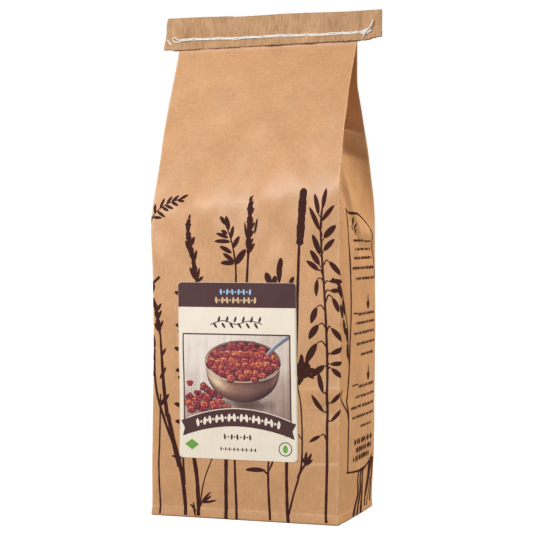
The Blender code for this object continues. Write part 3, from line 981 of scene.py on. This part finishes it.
def rounded_sheet(left, right, low, high, corner, lift, rows, columns, round_low=True):
    """A grid patch on the label with rounded corners: each row is as wide as the outline is there."""
    fall = corner * (1 - np.cos(np.linspace(0, math.pi / 2, 8)))
    rise = fall if round_low else np.array([0.0])
    middle = np.linspace(low + rise[-1], high - fall[-1], rows)
    b = np.concatenate([low + rise[:-1], middle, (high - fall[::-1])[1:]])
    below = np.clip(corner - (b - low), 0, corner) * round_low
    above = np.clip(corner - (high - b), 0, corner)
    inset = corner - np.sqrt(np.maximum(corner ** 2 - np.maximum(below, above) ** 2, 0))
    t = np.linspace(0, 1, columns)
    a = (left + inset)[:, None] * (1 - t) + (right - inset)[:, None] * t
    return on_label(a, np.broadcast_to(b[:, None], a.shape), lift), False


def label_stroke(points, width, lift):
    """A printed line on the label, through points in metres."""
    path = smooth_path(points, 1.5 * MM)
    return ribbon(path, np.full(len(path), width / 2), 2, on_label, lift)


def arch(a, peak, drop):
    """The banner's curve: highest in the label's middle, lower at both sides."""
    return peak - drop * ((a - LABEL_WIDTH / 2) / (0.43 * LABEL_WIDTH)) ** 2


def picture_material():
    """The printed table top: pale light from the left over faint, nearly upright boards."""
    mat, shader = plain_material("printed_table", 0.4)
    tree = mat.node_tree
    place = object_place(tree)
    split = tree.nodes.new("ShaderNodeSeparateXYZ")
    tree.links.new(place, split.inputs[0])
    height = spread(tree, split.outputs["Z"], label_low.z + 0.032, label_low.z + 0.075, 1.0, 0.0)
    rightward = spread(tree, split.outputs["X"], label_low.x + 0.03, label_high.x, 0.0, 1.0)
    dark = mixture(tree, [(height, 0.52), (rightward, 0.30)])
    boards = noise(tree, stretch(tree, place, (420, 420, 26)), 1.0, 4.0, 0.6)
    blotch = noise(tree, place, 60.0, 3.0)
    dark = maths(tree, "ADD", dark, spread(tree, boards, 0.3, 0.7, -0.10, 0.10))
    dark = maths(tree, "ADD", dark, spread(tree, blotch, 0.3, 0.7, -0.08, 0.08))
    shades = [(0.0, (238, 226, 214)), (0.45, (188, 162, 150)), (1.0, (104, 74, 66))]
    tree.links.new(colour_ramp(tree, dark, shades), shader.inputs["Base Color"])
    shader.inputs["Roughness"].default_value = PRINT_ROUGHNESS
    return mat


def ramp_material(name, stops):
    """A printed finish whose colour follows the piece's own 'tone' attribute, with a little grain."""
    mat, shader = plain_material(name, 0.4)
    tree = mat.node_tree
    grain = spread(tree, noise(tree, object_place(tree), 900.0, 3.0, 0.7), 0.3, 0.7, -0.09, 0.09)
    value = maths(tree, "ADD", stored(tree, "tone"), grain)
    tree.links.new(colour_ramp(tree, value, stops), shader.inputs["Base Color"])
    shader.inputs["Roughness"].default_value = PRINT_ROUGHNESS
    return mat


def printed(name, patches, mat, smooth=True):
    """A piece of the label's print."""
    return patches_piece(name, patches, mat, smooth)


BOWL_A, BOWL_B = 54.0 * MM, 77.6 * MM      # the rim's middle
BOWL_HALF, BOWL_RISE = 31.0 * MM, 16.4 * MM
BOWL_DROP = 32.0 * MM                      # from the rim's middle to the foot
FRAME_LINE = 1.1 * MM                      # the width of the line round the picture


def label_ellipse(a, b, half_a, half_b, rings, turn, lift):
    """A flat printed ellipse as rings round its middle, the innermost first."""
    across, up = half_a * rings * np.cos(turn), half_b * rings * np.sin(turn)
    return on_label(a + across, b + up, lift)[::-1], True


def label_bowl():
    """The printed bowl: its outside by rows from foot to rim, then its inside and its rim, all toned."""
    t = np.linspace(0, 1, 24)[:, None]
    angle = np.radians(np.linspace(-87, 87, 49))[None, :]
    u = np.sin(angle)
    drop = (BOWL_DROP + (BOWL_RISE - BOWL_DROP) * t) * np.cos(angle) ** 0.74
    outside_face = on_label(BOWL_A + BOWL_HALF * u, BOWL_B - drop, PRINT_LIFT * 1.4)
    tone = 0.56 - 0.30 * ease(u, -0.6, 0.75) + 0.34 * bell(u, -0.72, 0.26) * ramp(t, 0.1, 0.7)
    tone = tone - 0.40 * (1 - ramp(t, 0.0, 0.5)) - 0.16 * bell(t, 1.0, 0.16) + 0.10 * bell(u, 0.86, 0.10)
    copper = ramp_material("printed_copper", [
        (0.0, (58, 36, 34)), (0.30, (112, 76, 70)), (0.52, (152, 112, 96)),
        (0.74, (206, 170, 138)), (0.95, (240, 218, 186))])
    store(printed("label_bowl", [(outside_face, False)], copper), "tone", tone)

    turn = np.linspace(0, TAU, 73)[None, :-1]
    lit = 0.72 - 0.28 * np.sin(turn) - 0.12 * np.cos(turn)
    inside_widths, inside_shades = np.linspace(1.0, 0.01, 18), np.full(18, 0.10)
    rim_widths, rim_shades = np.array([1.02, 1.0, 0.975, 0.955, 0.94]), np.array([0.3, 0.75, 0.9, 0.55, 0.15])
    for name, lift, widths, shades in (("label_bowl_inside", 1.7, inside_widths, inside_shades),
                                       ("label_bowl_rim", 3.3, rim_widths, rim_shades)):
        ring = label_ellipse(BOWL_A, BOWL_B, BOWL_HALF, BOWL_RISE, widths[:, None], turn, PRINT_LIFT * lift)
        store(printed(name, [ring], copper), "tone", (shades[:, None] * lit)[::-1])


def berry_discs(places, name, first_lift):
    """Printed berries: one disc each, toned as a lit, wrinkled ball; later ones lie on earlier ones."""
    turn = np.linspace(0, TAU, 29)[None, :-1]
    rings = np.array([1.0, 0.9, 0.75, 0.58, 0.4, 0.2, 0.02])[:, None]
    patches, tones = [], []
    for k, (a, b, radius) in enumerate(places):
        outline = 1 + 0.10 * np.sin(3 * turn + 2.1 * k) + 0.07 * np.sin(5 * turn + 1.3 * k)
        flat = 0.82 + 0.14 * math.sin(1.7 * k)
        x, y = rings * np.cos(turn) * outline, rings * np.sin(turn) * outline * flat
        points = on_label(a + radius * x, b + radius * y, first_lift + 0.0009 * MM * k)
        patches.append((points[::-1], True))
        hollow = (x - 0.25 * math.sin(2.2 * k)) ** 2 + (y - 0.25 * math.cos(1.4 * k)) ** 2
        light = 0.40 + 0.24 * y - 0.12 * x
        light = light + 0.20 * bell(np.sqrt(hollow), 0.6, 0.2) - 0.08 * bell(hollow, 0.0, 0.1)
        crease = np.sin(6 * x + 4 * y + 1.9 * k) * np.cos(7 * y - 5 * x + 0.7 * k)
        tone = light + 0.20 * crease + 0.15 * math.sin(5.9 * k) - 0.34 * ramp(rings, 0.72, 1.0)
        tones.append(np.clip(tone, 0.02, 0.98)[::-1])
    store(printed(name, patches, BERRY_INK), "tone", np.concatenate([tone.ravel() for tone in tones]))


BERRY_INK = ramp_material("printed_berries", [
    (0.0, (48, 14, 26)), (0.22, (100, 32, 48)), (0.44, (150, 50, 66)), (0.62, (178, 74, 68)),
    (0.78, (214, 124, 72)), (1.0, (246, 190, 128))])


def label_berries():
    """A heaped bowlful, and a small pile spilt in front of it."""
    rng = np.random.default_rng(7)
    heap = []
    for b in np.linspace(1.0, -1.0, 9):
        reach = math.sqrt(max(1 - b * b, 0.12)) * 26.4
        for a in np.linspace(-reach, reach, max(int(reach * 2 / 5.0), 3)):
            jitter = rng.uniform(-1.3, 1.3, 2) * MM
            heap.append((BOWL_A + a * MM + jitter[0] * 0.8, BOWL_B + (b * 12.6 - 0.2) * MM + jitter[1] * 0.7,
                         rng.uniform(3.3, 4.3) * MM))
    berry_discs(heap, "label_bowl_berries", PRINT_LIFT * 2.0)
    pile = np.array([
        (9.1, 59.7, 2.9), (21.2, 57.1, 3.6), (24.8, 54.2, 3.4), (15.6, 52, 3.4), (29.4, 51.6, 3.6),
        (8.6, 48.4, 3.6), (20, 50, 3.4), (34.2, 49.2, 3.0), (24.4, 48.2, 4.0), (14.4, 46, 4.2),
        (34.6, 45.2, 3.8), (28.8, 44, 3.2), (7.4, 43.6, 3.4), (21.6, 42.6, 3.8), (40.4, 41.4, 3.4),
        (29.4, 41, 3.4), (10.4, 39, 3.8), (20, 39.2, 4.0), (35.4, 40, 3.2), (15, 41.4, 3.2)])
    berry_discs(pile * MM, "label_spilt_berries", PRINT_LIFT * 2.0)


def label_shadows():
    """Soft printed shadows under the bowl and the pile, as flat dark patches toned by their edge."""
    turn = np.linspace(0, TAU, 49)[None, :-1]
    rings = np.linspace(1.0, 0.01, 16)[:, None]
    under_bowl, under_pile = np.array([58, 44, 25, 7.5]) * MM, np.array([24, 42, 20, 12]) * MM
    patches = [label_ellipse(*place, rings, turn, PRINT_LIFT * 1.15) for place in (under_bowl, under_pile)]
    mat, shader = plain_material("printed_shadow", 0.3)
    tree = mat.node_tree
    shader.inputs["Base Color"].default_value = srgb(84, 56, 50)
    shader.inputs["Roughness"].default_value = 0.45
    tree.links.new(stored(tree, "tone"), shader.inputs["Alpha"])
    fade = np.broadcast_to(0.62 * (1 - rings ** 1.6), (len(rings), turn.shape[1]))[::-1]
    store(printed("label_shadows", patches, mat), "tone", np.stack([fade, fade]))


def label_spoon():
    """The printed spoon's handle, a tapering stroke with a lit upper edge."""
    points = np.array([[74.0, 83.0], [80.5, 89.0], [87.0, 94.2], [92.8, 98.2]]) * MM
    path = smooth_path(points, 1.0 * MM)
    half = np.linspace(1.1, 1.9, len(path)) * MM
    shades = [(0.0, (70, 74, 88)), (0.5, (134, 140, 154)), (1.0, (214, 218, 224))]
    steel = ramp_material("printed_steel", shades)
    spoon = printed("label_spoon", [ribbon(path, half, 4, on_label, PRINT_LIFT * 3.6)], steel)
    across = np.array([0.95, 0.7, 0.35, 0.25, 0.1])
    store(spoon, "tone", np.broadcast_to(across, (len(path), len(across))))


def label_banner():
    """The dark banner: an arched band over the picture's foot, with a notched tail at each end."""
    middle = LABEL_WIDTH / 2
    a = 6.3 * MM + np.linspace(0, 1, 60) * (LABEL_WIDTH - 12.2 * MM)
    low, high = arch(a, 26.4 * MM, 7.4 * MM), arch(a, 40.2 * MM, 8.6 * MM)
    rows = np.linspace(0, 1, 6)[:, None]
    band = on_label(a, low * (1 - rows) + high * rows, PRINT_LIFT * 4.2), False
    edge = [label_stroke(np.stack([a, curve], axis=1), 0.7 * MM, PRINT_LIFT * 4.0)
            for curve in (low - 0.3 * MM, high + 0.3 * MM)]
    tails = []
    for hand in (-1, 1):
        outer, inner = middle + hand * 48.2 * MM, middle + hand * 38.0 * MM
        notch = middle + hand * 45.0 * MM
        a_out = np.array([[outer], [notch], [outer - hand * 1.5 * MM]])
        b_out = np.array([[29.8 * MM], [24.0 * MM], [17.6 * MM]])
        b_in = np.array([[32.5 * MM], [25.5 * MM], [19.6 * MM]])
        t_in = np.linspace(0, 1, 6)[None, :]
        a_grid, b_grid = a_out * (1 - t_in) + inner * t_in, b_out * (1 - t_in) + b_in * t_in
        tails.append((on_label(a_grid[::-1, ::-hand], b_grid[::-1, ::-hand], PRINT_LIFT * 3.4), False))
    printed("label_banner", [band], BAND_INK)
    printed("label_banner_tails", tails, TAIL_INK, smooth=False)
    printed("label_banner_edges", edge, LABEL_PAPER)


def label_leaf(foot, angle, length, breadth, lift, bend=0.0):
    """A leaf printed on the label."""
    return leaf(foot, angle, length, breadth, bend, lay=on_label, stand_off=lift)


def ornament_row(a_low, a_high, b_of, size, lift, count):
    """A plain repeating border where lettering would be: small leaves and dots by turns."""
    shapes = []
    for k, a in enumerate(np.linspace(a_low, a_high, count)):
        b = b_of(a * MM) / MM
        if k % 2:
            shapes.append(label_leaf((a - size * 0.15, b), 0, size * 0.30, size * 0.30, lift))
        else:
            shapes.append(label_leaf((a, b - size / 2), 84 if k % 4 else 96, size, size * 0.40, lift))
    return shapes


def label_ornaments():
    """Generic marks in the lettering's places: leaf borders, a sprig, and two plain green marks."""
    lift = PRINT_LIFT * 5
    banner = ornament_row(16, 83, lambda a: arch(a, 33.4 * MM, 7.8 * MM), 6.6, lift, 27)
    printed("banner_border", banner, LABEL_PAPER)
    sand = paper_material("label_sand_ink", (214, 180, 140), 0.02, 0.05, 0.4, 0.2, 0.4)
    printed("header_border", ornament_row(33, 65, lambda a: 126.0 * MM, 5.4, lift, 15), sand)
    sky = paper_material("label_sky_ink", (150, 196, 232), 0.02, 0.05, 0.4, 0.2, 0.4)
    printed("header_wave", ornament_row(37, 61, lambda a: 132.6 * MM, 4.8, lift, 11), sky)
    wave = np.array([[27, 106.5], [38, 109.8], [49, 107.0], [60, 109.8], [71, 107.4]]) * MM
    sprig = [label_stroke(wave, 0.75 * MM, PRINT_LIFT * 1.5)]
    for k, a in enumerate(np.linspace(30, 68, 12)):
        sprig.append(label_leaf((a, 108.4), 66 if k % 2 else -62, 5.4, 2.0, PRINT_LIFT * 1.6, 20))
    sprig += ornament_row(38.5, 60, lambda a: 18.0 * MM, 4.8, PRINT_LIFT * 1.7, 9)
    sprig += ornament_row(35, 64, lambda a: 8.2 * MM, 3.2, PRINT_LIFT * 1.7, 17)
    printed("label_fine_print", sprig, BAND_INK)

    green, deep_green = label_ink("label_green_ink", 112, 168, 72), label_ink("label_deep_green", 70, 112, 84)
    diamond_a = np.array([[10.6, 10.6], [4.6, 16.6], [10.6, 10.6]]) * MM
    diamond_b = np.array([[6.6, 6.6], [11.0, 11.0], [15.2, 15.2]]) * MM
    printed("label_green_mark", [(on_label(diamond_a, diamond_b, PRINT_LIFT * 2), False)], green)
    printed("label_green_leaf", [label_leaf((8.0, 9.6), 28, 6.0, 2.2, PRINT_LIFT * 3)], LABEL_PAPER)
    turn = np.linspace(0, TAU, 37)[None, :-1]
    rings = np.array([1.0, 0.9, 0.5, 0.02])[:, None]
    for name, radius, lift, mat in (("label_seal_ring", 5.6 * MM, PRINT_LIFT * 2, deep_green),
                                    ("label_seal", 4.7 * MM, PRINT_LIFT * 2.6, LABEL_PAPER)):
        printed(name, [label_ellipse(88.6 * MM, 9.8 * MM, radius, radius, rings, turn, lift)], mat)
    printed("label_seal_leaf", [label_leaf((88.6, 6.4), 90, 6.8, 4.2, PRINT_LIFT * 3.2)], green)


def label():
    """The stuck-on label and everything printed on it."""
    width, height = LABEL_WIDTH, LABEL_HEIGHT
    outline = rounded_sheet(0, width, 0, height, LABEL_CORNER, 0.0, 60, 46)
    sheet = printed("label_sheet", [outline], LABEL_PAPER)
    thicken(sheet, LABEL_THICKNESS)
    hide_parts("front_label")
    margin, band_low = 0.2 * MM, 120.3 * MM
    band = rounded_sheet(margin, width - margin, band_low, height - margin, LABEL_CORNER - margin,
                         PRINT_LIFT, 12, 46, round_low=False)
    printed("label_band", [band], BAND_INK)
    a = np.linspace(4.4 * MM, 93.0 * MM, 46)
    foot = arch(a, 35.0 * MM, 8.0 * MM)
    rows = np.linspace(0, 1, 30)[:, None]
    ground = on_label(a, foot * (1 - rows) + 98.8 * MM * rows, PRINT_LIFT), False
    printed("label_picture", [ground], picture_material())
    left, right, low, top = 4.0 * MM, 93.4 * MM, 27 * MM, 99.0 * MM
    frame_lines = [
        label_stroke(np.array([[edge, low], [edge, 60 * MM], [edge, top]]), FRAME_LINE, PRINT_LIFT * 3.7)
        for edge in (left, right)]
    frame_lines.append(
        label_stroke(np.array([[left, top], [50 * MM, top], [right, top]]), FRAME_LINE, PRINT_LIFT * 3.8))
    printed("label_picture_frame", frame_lines, BAND_INK)
    label_shadows()
    label_bowl()
    label_berries()
    label_spoon()
    label_banner()
    label_ornaments()


# ---------------------------------------------------------------- crepe tape and thread

TAPE_LEFT, TAPE_RIGHT = tape_low.x, tape_high.x
TAPE_WIDTH = tape_high.z - tape_low.z
TAPE_TILT = 0.001                   # rise over run, to the right
TAPE_PAPER = 0.42 * MM
SEAM_ABOVE_EDGE = 8.3 * MM


def tape_half(x):
    """Outer half-thickness of the tape, round the paper stack and pinched flat past it."""
    over_bag, closed = (tape_high.y - tape_low.y) / 2, 0.65 * MM
    return closed + (over_bag - closed) * (1 - ease(np.abs(x), WIDTH / 2, WIDTH / 2 + 5 * MM))


def tape_middle(x):
    """The y of the tape's mid-plane."""
    return MOUTH_Y - MOUTH_SKEW * np.clip(x / WIDTH, -0.55, 0.55)


def crimps(rows, columns, seed):
    """Crepe relief: seeded noise smoothed a little along the tape and a lot across it, from -1 to 1."""
    rng = np.random.default_rng(seed)
    field = rng.standard_normal((rows, columns))
    for _ in range(2):
        field = (np.roll(field, 1, 1) + 1.6 * field + np.roll(field, -1, 1)) / 3.6
    spread_over = np.hanning(13)
    spread_over /= spread_over.sum()
    field = np.apply_along_axis(lambda column: np.convolve(column, spread_over, mode="same"), 0, field)
    return field / np.abs(field).max()


def closure_tape():
    """Folded crepe tape: p runs from the front leaf's lower edge over the top fold to the back one's."""
    columns, leaf_rows = 420, 26
    x = np.linspace(0, 1, columns)[None, :]
    rows = 2 * leaf_rows + 9
    p = np.linspace(-1, 1, rows)[:, None]
    drop = np.abs(p)
    slant = -3.0 * MM * drop
    along = (TAPE_LEFT + 0.2 * MM + slant) * (1 - x) + TAPE_RIGHT * x
    along = along + 0.3 * MM * np.sin(9 * p) * np.where(x < 0.02, 1, 0)
    half = tape_half(along)
    fold = np.clip(drop / 0.085, 0, 1)
    side = np.sign(p) * np.sin(fold * math.pi / 2)
    edge_flare = ease(drop, 0.55, 1.0) * MM * (
        0.75 + 0.75 * np.sin(TAU * along / 0.061 + 1.0) * np.sin(TAU * along / 0.023)
        + 1.5 * (1 - ease(along, TAPE_LEFT, TAPE_LEFT + 0.012))
        + 1.5 * ease(along, -0.012, 0.016) * (0.7 + 0.5 * np.sin(TAU * along / 0.029)) * (p < 0))
    half = half + np.maximum(edge_flare, -0.1 * MM) * 0.8
    y = tape_middle(along) + side * half
    rightward = ramp(along, TAPE_LEFT, TAPE_RIGHT)
    top = TAPE_LOW_Z + TAPE_WIDTH + 0.5 * MM - 0.55 * MM * ease(along, -0.030, -0.027)
    top = top + 0.25 * MM * np.sin(TAU * along / 0.09) - 0.2 * MM * rightward
    low = TAPE_LOW_Z + 0.18 * MM * np.sin(TAU * along / 0.017) * np.sin(TAU * along / 0.006 + 1)
    low = low + 2.4 * MM * rightward + 2.4 * MM * ease(along, 0.083, TAPE_RIGHT)
    low = low + 0.9 * MM * (1 - ease(along, TAPE_LEFT, TAPE_LEFT + 0.006))
    z = top + (low - top) * drop
    z = z + TAPE_TILT * along
    relief = crimps(rows, columns, 5)
    coarse = np.sin(TAU * along / 0.0041 + 2 * np.sin(TAU * along / 0.037)) * 0.3
    push = 0.20 * MM * (relief + coarse * 0.5)
    y = y + np.where(p < 0, -1, 1) * push * np.clip(fold * 1.2, 0.25, 1)
    z = z + push * (1 - fold) * 0.7
    grid = np.stack([along + 0 * z, y + 0 * z, z], axis=-1)
    tape = patches_piece("crepe_tape", [(grid, False)], CREPE)
    thicken(tape, TAPE_PAPER)
    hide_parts("closure_tape")


def thread_material():
    """White sewing cotton: twisted fibres, some a little darker than others, with a soft sheen."""
    mat, shader = plain_material("sewing_cotton", 0.2)
    tree = mat.node_tree
    fibres = noise(tree, stretch(tree, object_place(tree), (1500, 1500, 2600)), 1.0, 3.0, 0.6)
    colour = colour_ramp(tree, fibres, [(0.25, (214, 206, 194)), (0.6, (250, 247, 240))])
    tree.links.new(colour, shader.inputs["Base Color"])
    tree.links.new(bump(tree, fibres, 0.08 * MM, 0.6).outputs["Normal"], shader.inputs["Normal"])
    shader.inputs["Roughness"].default_value = 0.85
    shader.inputs["Sheen Weight"].default_value = 0.3
    return mat


STITCH_LEFT, STITCH_RIGHT = -0.0745, 0.0835
STITCHES = round((STITCH_RIGHT - STITCH_LEFT) / (7.7 * MM))
STITCH_PITCH = (STITCH_RIGHT - STITCH_LEFT) / STITCHES


def seam_z(x):
    """Height of the sewn line, which follows the tape's slight tilt and wanders a little."""
    return TAPE_LOW_Z + SEAM_ABOVE_EDGE + TAPE_TILT * x + 0.25 * MM * np.sin(TAU * x / 0.07 + 0.5)


def tape_face(x, side):
    """The y just off the tape's face; side is -1 at the front and 1 at the back."""
    return tape_middle(x) + side * (tape_half(x) + 0.25 * MM)


def chain_loop(start, length, k):
    """One loop of the chain: out along one strand, round the head and back along the other."""
    u = np.linspace(0, 1, 44)
    x = start + length * (0.5 - 0.5 * np.cos(TAU * u))
    gape = (0.74 + 0.12 * math.sin(2.3 * k)) * MM
    place = (x - start) / length
    z = seam_z(x) + gape * np.sin(TAU * u) * (0.55 + 0.45 * place) + 0.22 * MM * math.sin(1.9 * k)
    hump = 0.55 * np.sin(math.pi * np.clip(place, 0, 1))
    rise = (0.50 + hump - 0.30 * (place > 0.5) * (place - 0.5)) * MM
    return np.stack([x, tape_face(x, -1) - rise, z], axis=1)


def front_chain():
    """The looper thread's chain, a loop a stitch, each head held under the next loop's tail."""
    loops = []
    for k in range(STITCHES):
        loop = chain_loop(STITCH_LEFT + k * STITCH_PITCH, STITCH_PITCH * 1.16, k)
        loops.append((tube(loop, 0.52 * MM), True))
    chain = patches_piece("chain_stitches", loops, COTTON)
    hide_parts("looper_thread")


def loose_thread(points, radius):
    """A short thread end through points in millimetres along the seam: x, height over it, stand-off."""
    points = np.array(points, float)
    path = smooth_path(points * MM, 0.35 * MM)
    x = path[:, 0]
    y = tape_face(x, -1) - path[:, 2]
    return tube(np.stack([x, y, seam_z(x) + path[:, 1]], axis=1), radius), True


def thread_ends():
    """The seam's two ends: a slack first loop and a clipped tail, and a knot with three tails."""
    ends = [loose_thread([(-73.5, -0.6, 0.5), (-76.5, 0.9, 1.3), (-79.0, 2.4, 1.6), (-80.8, 1.5, 1.5),
                          (-80.0, -0.6, 1.3), (-77.0, -1.6, 1.0), (-73.5, -1.0, 0.5)], 0.5 * MM),
            loose_thread([(-86.6, 1.4, 0.5), (-85.4, 0.2, 1.0), (-84.0, -1.6, 1.1), (-82.6, -2.6, 0.7),
                          (-81.8, -2.8, 0.5)], 0.55 * MM),
            loose_thread([(-83.4, -0.4, 0.6), (-84.4, -2.0, 1.1), (-82.8, -2.9, 1.1)], 0.45 * MM)]
    knot = np.linspace(0, 1, 60)
    turn = TAU * 2.0 * knot
    x = 0.0862 + (3.3 + 0.9 * np.sin(turn * 0.5)) * np.cos(turn) * MM
    z = seam_z(x) + (0.6 + 1.9 * np.sin(turn + 0.5)) * MM
    y = tape_face(x, -1) - (1.0 + 0.7 * knot) * MM
    ends.append((tube(np.stack([x, y, z], axis=1), 0.5 * MM), True))
    ends.append(loose_thread([(84.0, 0.2, 1.2), (87.0, 1.4, 2.2), (89.4, 4.2, 2.4), (91.2, 7.4, 2.0),
                              (92.0, 9.6, 1.3)], 0.5 * MM))
    ends.append(loose_thread([(87.6, 3.0, 1.4), (86.4, 0.4, 2.5), (84.6, -2.4, 2.2), (83.6, -4.8, 1.3)],
                             0.5 * MM))
    ends.append(loose_thread([(86.0, -0.4, 1.2), (88.6, 0.6, 2.0), (90.8, 0.4, 1.6)], 0.45 * MM))
    patches_piece("thread_ends", ends, COTTON)


def back_stitches():
    """The needle thread on the back: one straight stitch a pitch, dipping into its holes."""
    stitches = []
    for k in range(STITCHES):
        t = np.linspace(0, 1, 20)
        x = STITCH_LEFT + (k + 0.04 + 0.92 * t) * STITCH_PITCH
        lift = 0.5 * MM * np.sin(math.pi * t) ** 0.6 - 0.28 * MM
        z = seam_z(x) + 0.12 * MM * np.sin(5.0 * k + 2 * t)
        stitches.append((tube(np.stack([x, tape_face(x, 1) + lift, z], axis=1), 0.42 * MM), True))
    thread = patches_piece("back_stitches", stitches, COTTON)
    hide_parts("needle_thread")


COTTON = thread_material()


# ---------------------------------------------------------------- the contents

def dried_fruit_material():
    """Wrinkled dried fruit: dark red to amber by patches, with a slight gloss."""
    mat, shader = plain_material("dried_fruit", 0.5)
    tree = mat.node_tree
    place = object_place(tree)
    colour = colour_ramp(tree, noise(tree, place, 130.0, 3.0), [(0.35, (92, 26, 20)), (0.68, (206, 104, 38))])
    tree.links.new(colour, shader.inputs["Base Color"])
    wrinkles = bump(tree, noise(tree, place, 420.0, 4.0), 0.8 * MM, 0.8)
    tree.links.new(wrinkles.outputs["Normal"], shader.inputs["Normal"])
    shader.inputs["Roughness"].default_value = 0.5
    return mat


def berry(centre, radius, k):
    """A dried berry: a ball flattened and creased by waves in latitude and longitude."""
    latitude = np.linspace(-math.pi / 2, math.pi / 2, 9)[:, None]
    longitude = np.linspace(0, TAU, 13)[None, :-1]
    crease = 1 + 0.12 * np.sin(5 * longitude + k) * np.cos(latitude) + 0.08 * np.sin(4 * latitude + 2 * k)
    flat = np.array([1.0, 0.92, 0.78])
    ring = np.cos(latitude) + 0.001
    up = np.sin(latitude) + 0 * longitude
    ball = np.stack([ring * np.cos(longitude), ring * np.sin(longitude), up], axis=-1)
    return centre + ball * flat * (radius * crease)[..., None], True


def packed_berries(mat):
    """The fruit as it lies in the bag: a lumpy mass some 2 mm inside the paper, heaped on top."""
    s = np.linspace(0, GIRTH, 200, endpoint=False)[None, :]
    z = np.linspace(2.4 * MM, fill_high.z - 0.012, 56)[:, None]
    lumps = np.sin(TAU * s / 0.0130 + 1.5 * np.sin(TAU * z / 0.031)) * np.sin(TAU * z / 0.0115)
    walls = on_wall(s, z, (-2.4 + 0.5 * lumps) * MM)
    rim = walls[-1]
    centre = rim.mean(axis=0)
    shrink = np.linspace(0.97, 0.01, 26)[:, None, None]
    top = centre + (rim - centre)[None] * shrink
    bumps = np.sin(TAU * top[..., 0] / 0.0127) * np.cos(TAU * top[..., 1] / 0.0118)
    top[..., 2] += 0.011 * (1 - shrink[..., 0] ** 2) + 1.6 * MM * bumps
    low_centre = walls[0].mean(axis=0)
    foot = low_centre + (walls[0] - low_centre)[None] * np.linspace(0.01, 0.97, 12)[:, None, None]
    grid = np.concatenate([foot, walls, top])
    mass = patches_piece("packed_berries", [(grid, True)], mat)
    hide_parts("berry_fill")


def loose_berries(mat):
    """The heap's top layer, inside the closed bag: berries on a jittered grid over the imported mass."""
    rng = np.random.default_rng(11)
    berries = []
    for i, x in enumerate(np.linspace(fill_low.x + 0.012, fill_high.x - 0.012, 12)):
        for j, y in enumerate(np.linspace(fill_low.y + 0.014, fill_high.y - 0.016, 8)):
            edge = max(abs(x) / 0.078, abs(y) / 0.052)
            z = fill_high.z - 0.001 - 0.012 * edge ** 2
            centre = np.array([x, y, z]) + rng.uniform(-1.6, 1.6, 3) * MM
            berries.append(berry(centre, rng.uniform(5.0, 6.2) * MM, i * 8 + j))
    patches_piece("loose_berries", berries, mat)


def contents():
    """What is inside the closed bag."""
    mat = dried_fruit_material()
    packed_berries(mat)
    loose_berries(mat)


# ---------------------------------------------------------------- studio

def area_light(name, place, aim, size, power, colour=(1.0, 1.0, 1.0)):
    """A soft rectangular light that faces its aim."""
    data = bpy.data.lights.new(name, "AREA")
    data.shape = "RECTANGLE"
    data.size, data.size_y = size
    data.energy = power
    data.color = colour
    light = bpy.data.objects.new(name, data)
    light.location = place
    direction = np.array(aim) - np.array(place)
    light.rotation_euler = (
        math.atan2(np.hypot(direction[0], direction[1]), -direction[2]), 0.0,
        math.atan2(direction[0], -direction[1]) + math.pi)
    bpy.context.scene.collection.objects.link(light)
    return light


def studio():
    """A pale floor, a bright plain surround and soft lights."""
    scene = bpy.context.scene
    scene.view_settings.view_transform = "Standard"
    world = bpy.data.worlds.new("studio")
    scene.world = world
    world.use_nodes = True
    tree = world.node_tree
    background = tree.nodes["Background"]
    background.inputs["Color"].default_value = (1.0, 1.0, 1.0, 1.0)
    camera_ray = tree.nodes.new("ShaderNodeLightPath").outputs["Is Camera Ray"]
    surround_light, surround_seen = 0.315, 1.0
    strength = spread(tree, camera_ray, 0.0, 1.0, surround_light, surround_seen)
    tree.links.new(strength, background.inputs["Strength"])

    mesh = bpy.data.meshes.new("floor")
    half = 6.0
    corners = [(-half, -half, 0), (half, -half, 0), (half, half, 0), (-half, half, 0)]
    mesh.from_pydata(corners, [], [(0, 1, 2, 3)])
    floor = bpy.data.objects.new("floor", mesh)
    mat, shader = plain_material("pale_floor", 0.2)
    floor_grey = 0.22
    shader.inputs["Base Color"].default_value = (floor_grey, floor_grey, floor_grey, 1.0)
    shader.inputs["Roughness"].default_value = 0.9
    shader.inputs["Emission Color"].default_value = (1.0, 1.0, 1.0, 1.0)
    seen = mat.node_tree.nodes.new("ShaderNodeLightPath").outputs["Is Camera Ray"]
    mat.node_tree.links.new(seen, shader.inputs["Emission Strength"])
    mesh.materials.append(mat)
    scene.collection.objects.link(floor)

    area_light("key", (-0.42, -1.25, 0.78), (0, 0, 0.28), (0.5, 0.5), 16.7)
    side = area_light("side", (1.0, 0.85, 1.0), (0, 0, 0.2), (0.7, 0.7), 27.0, (1.0, 0.91, 0.73))
    side.visible_glossy = False
    area_light("back", (-1.0, 1.5, 1.0), (0, 0, 0.2), (1.4, 1.0), 12.0)


def camera():
    """The camera: a short telephoto a little to the right, at about half the bag's height."""
    data = bpy.data.cameras.new("camera")
    data.lens = 110.85
    data.sensor_width = 36.0
    data.clip_start, data.clip_end = 0.05, 50.0
    obj = bpy.data.objects.new("camera", data)
    obj.location = (0.4387, -1.2665, 0.2272)
    obj.rotation_euler = (math.radians(90 - 1.18), 0.0, math.radians(19.03))
    bpy.context.scene.collection.objects.link(obj)
    bpy.context.scene.camera = obj


def main():
    camera()
    sack_paper()
    back_seam()
    bottom_flaps()
    print_on_sack()
    label()
    closure_tape()
    front_chain()
    thread_ends()
    back_stitches()
    contents()
    studio()


main()
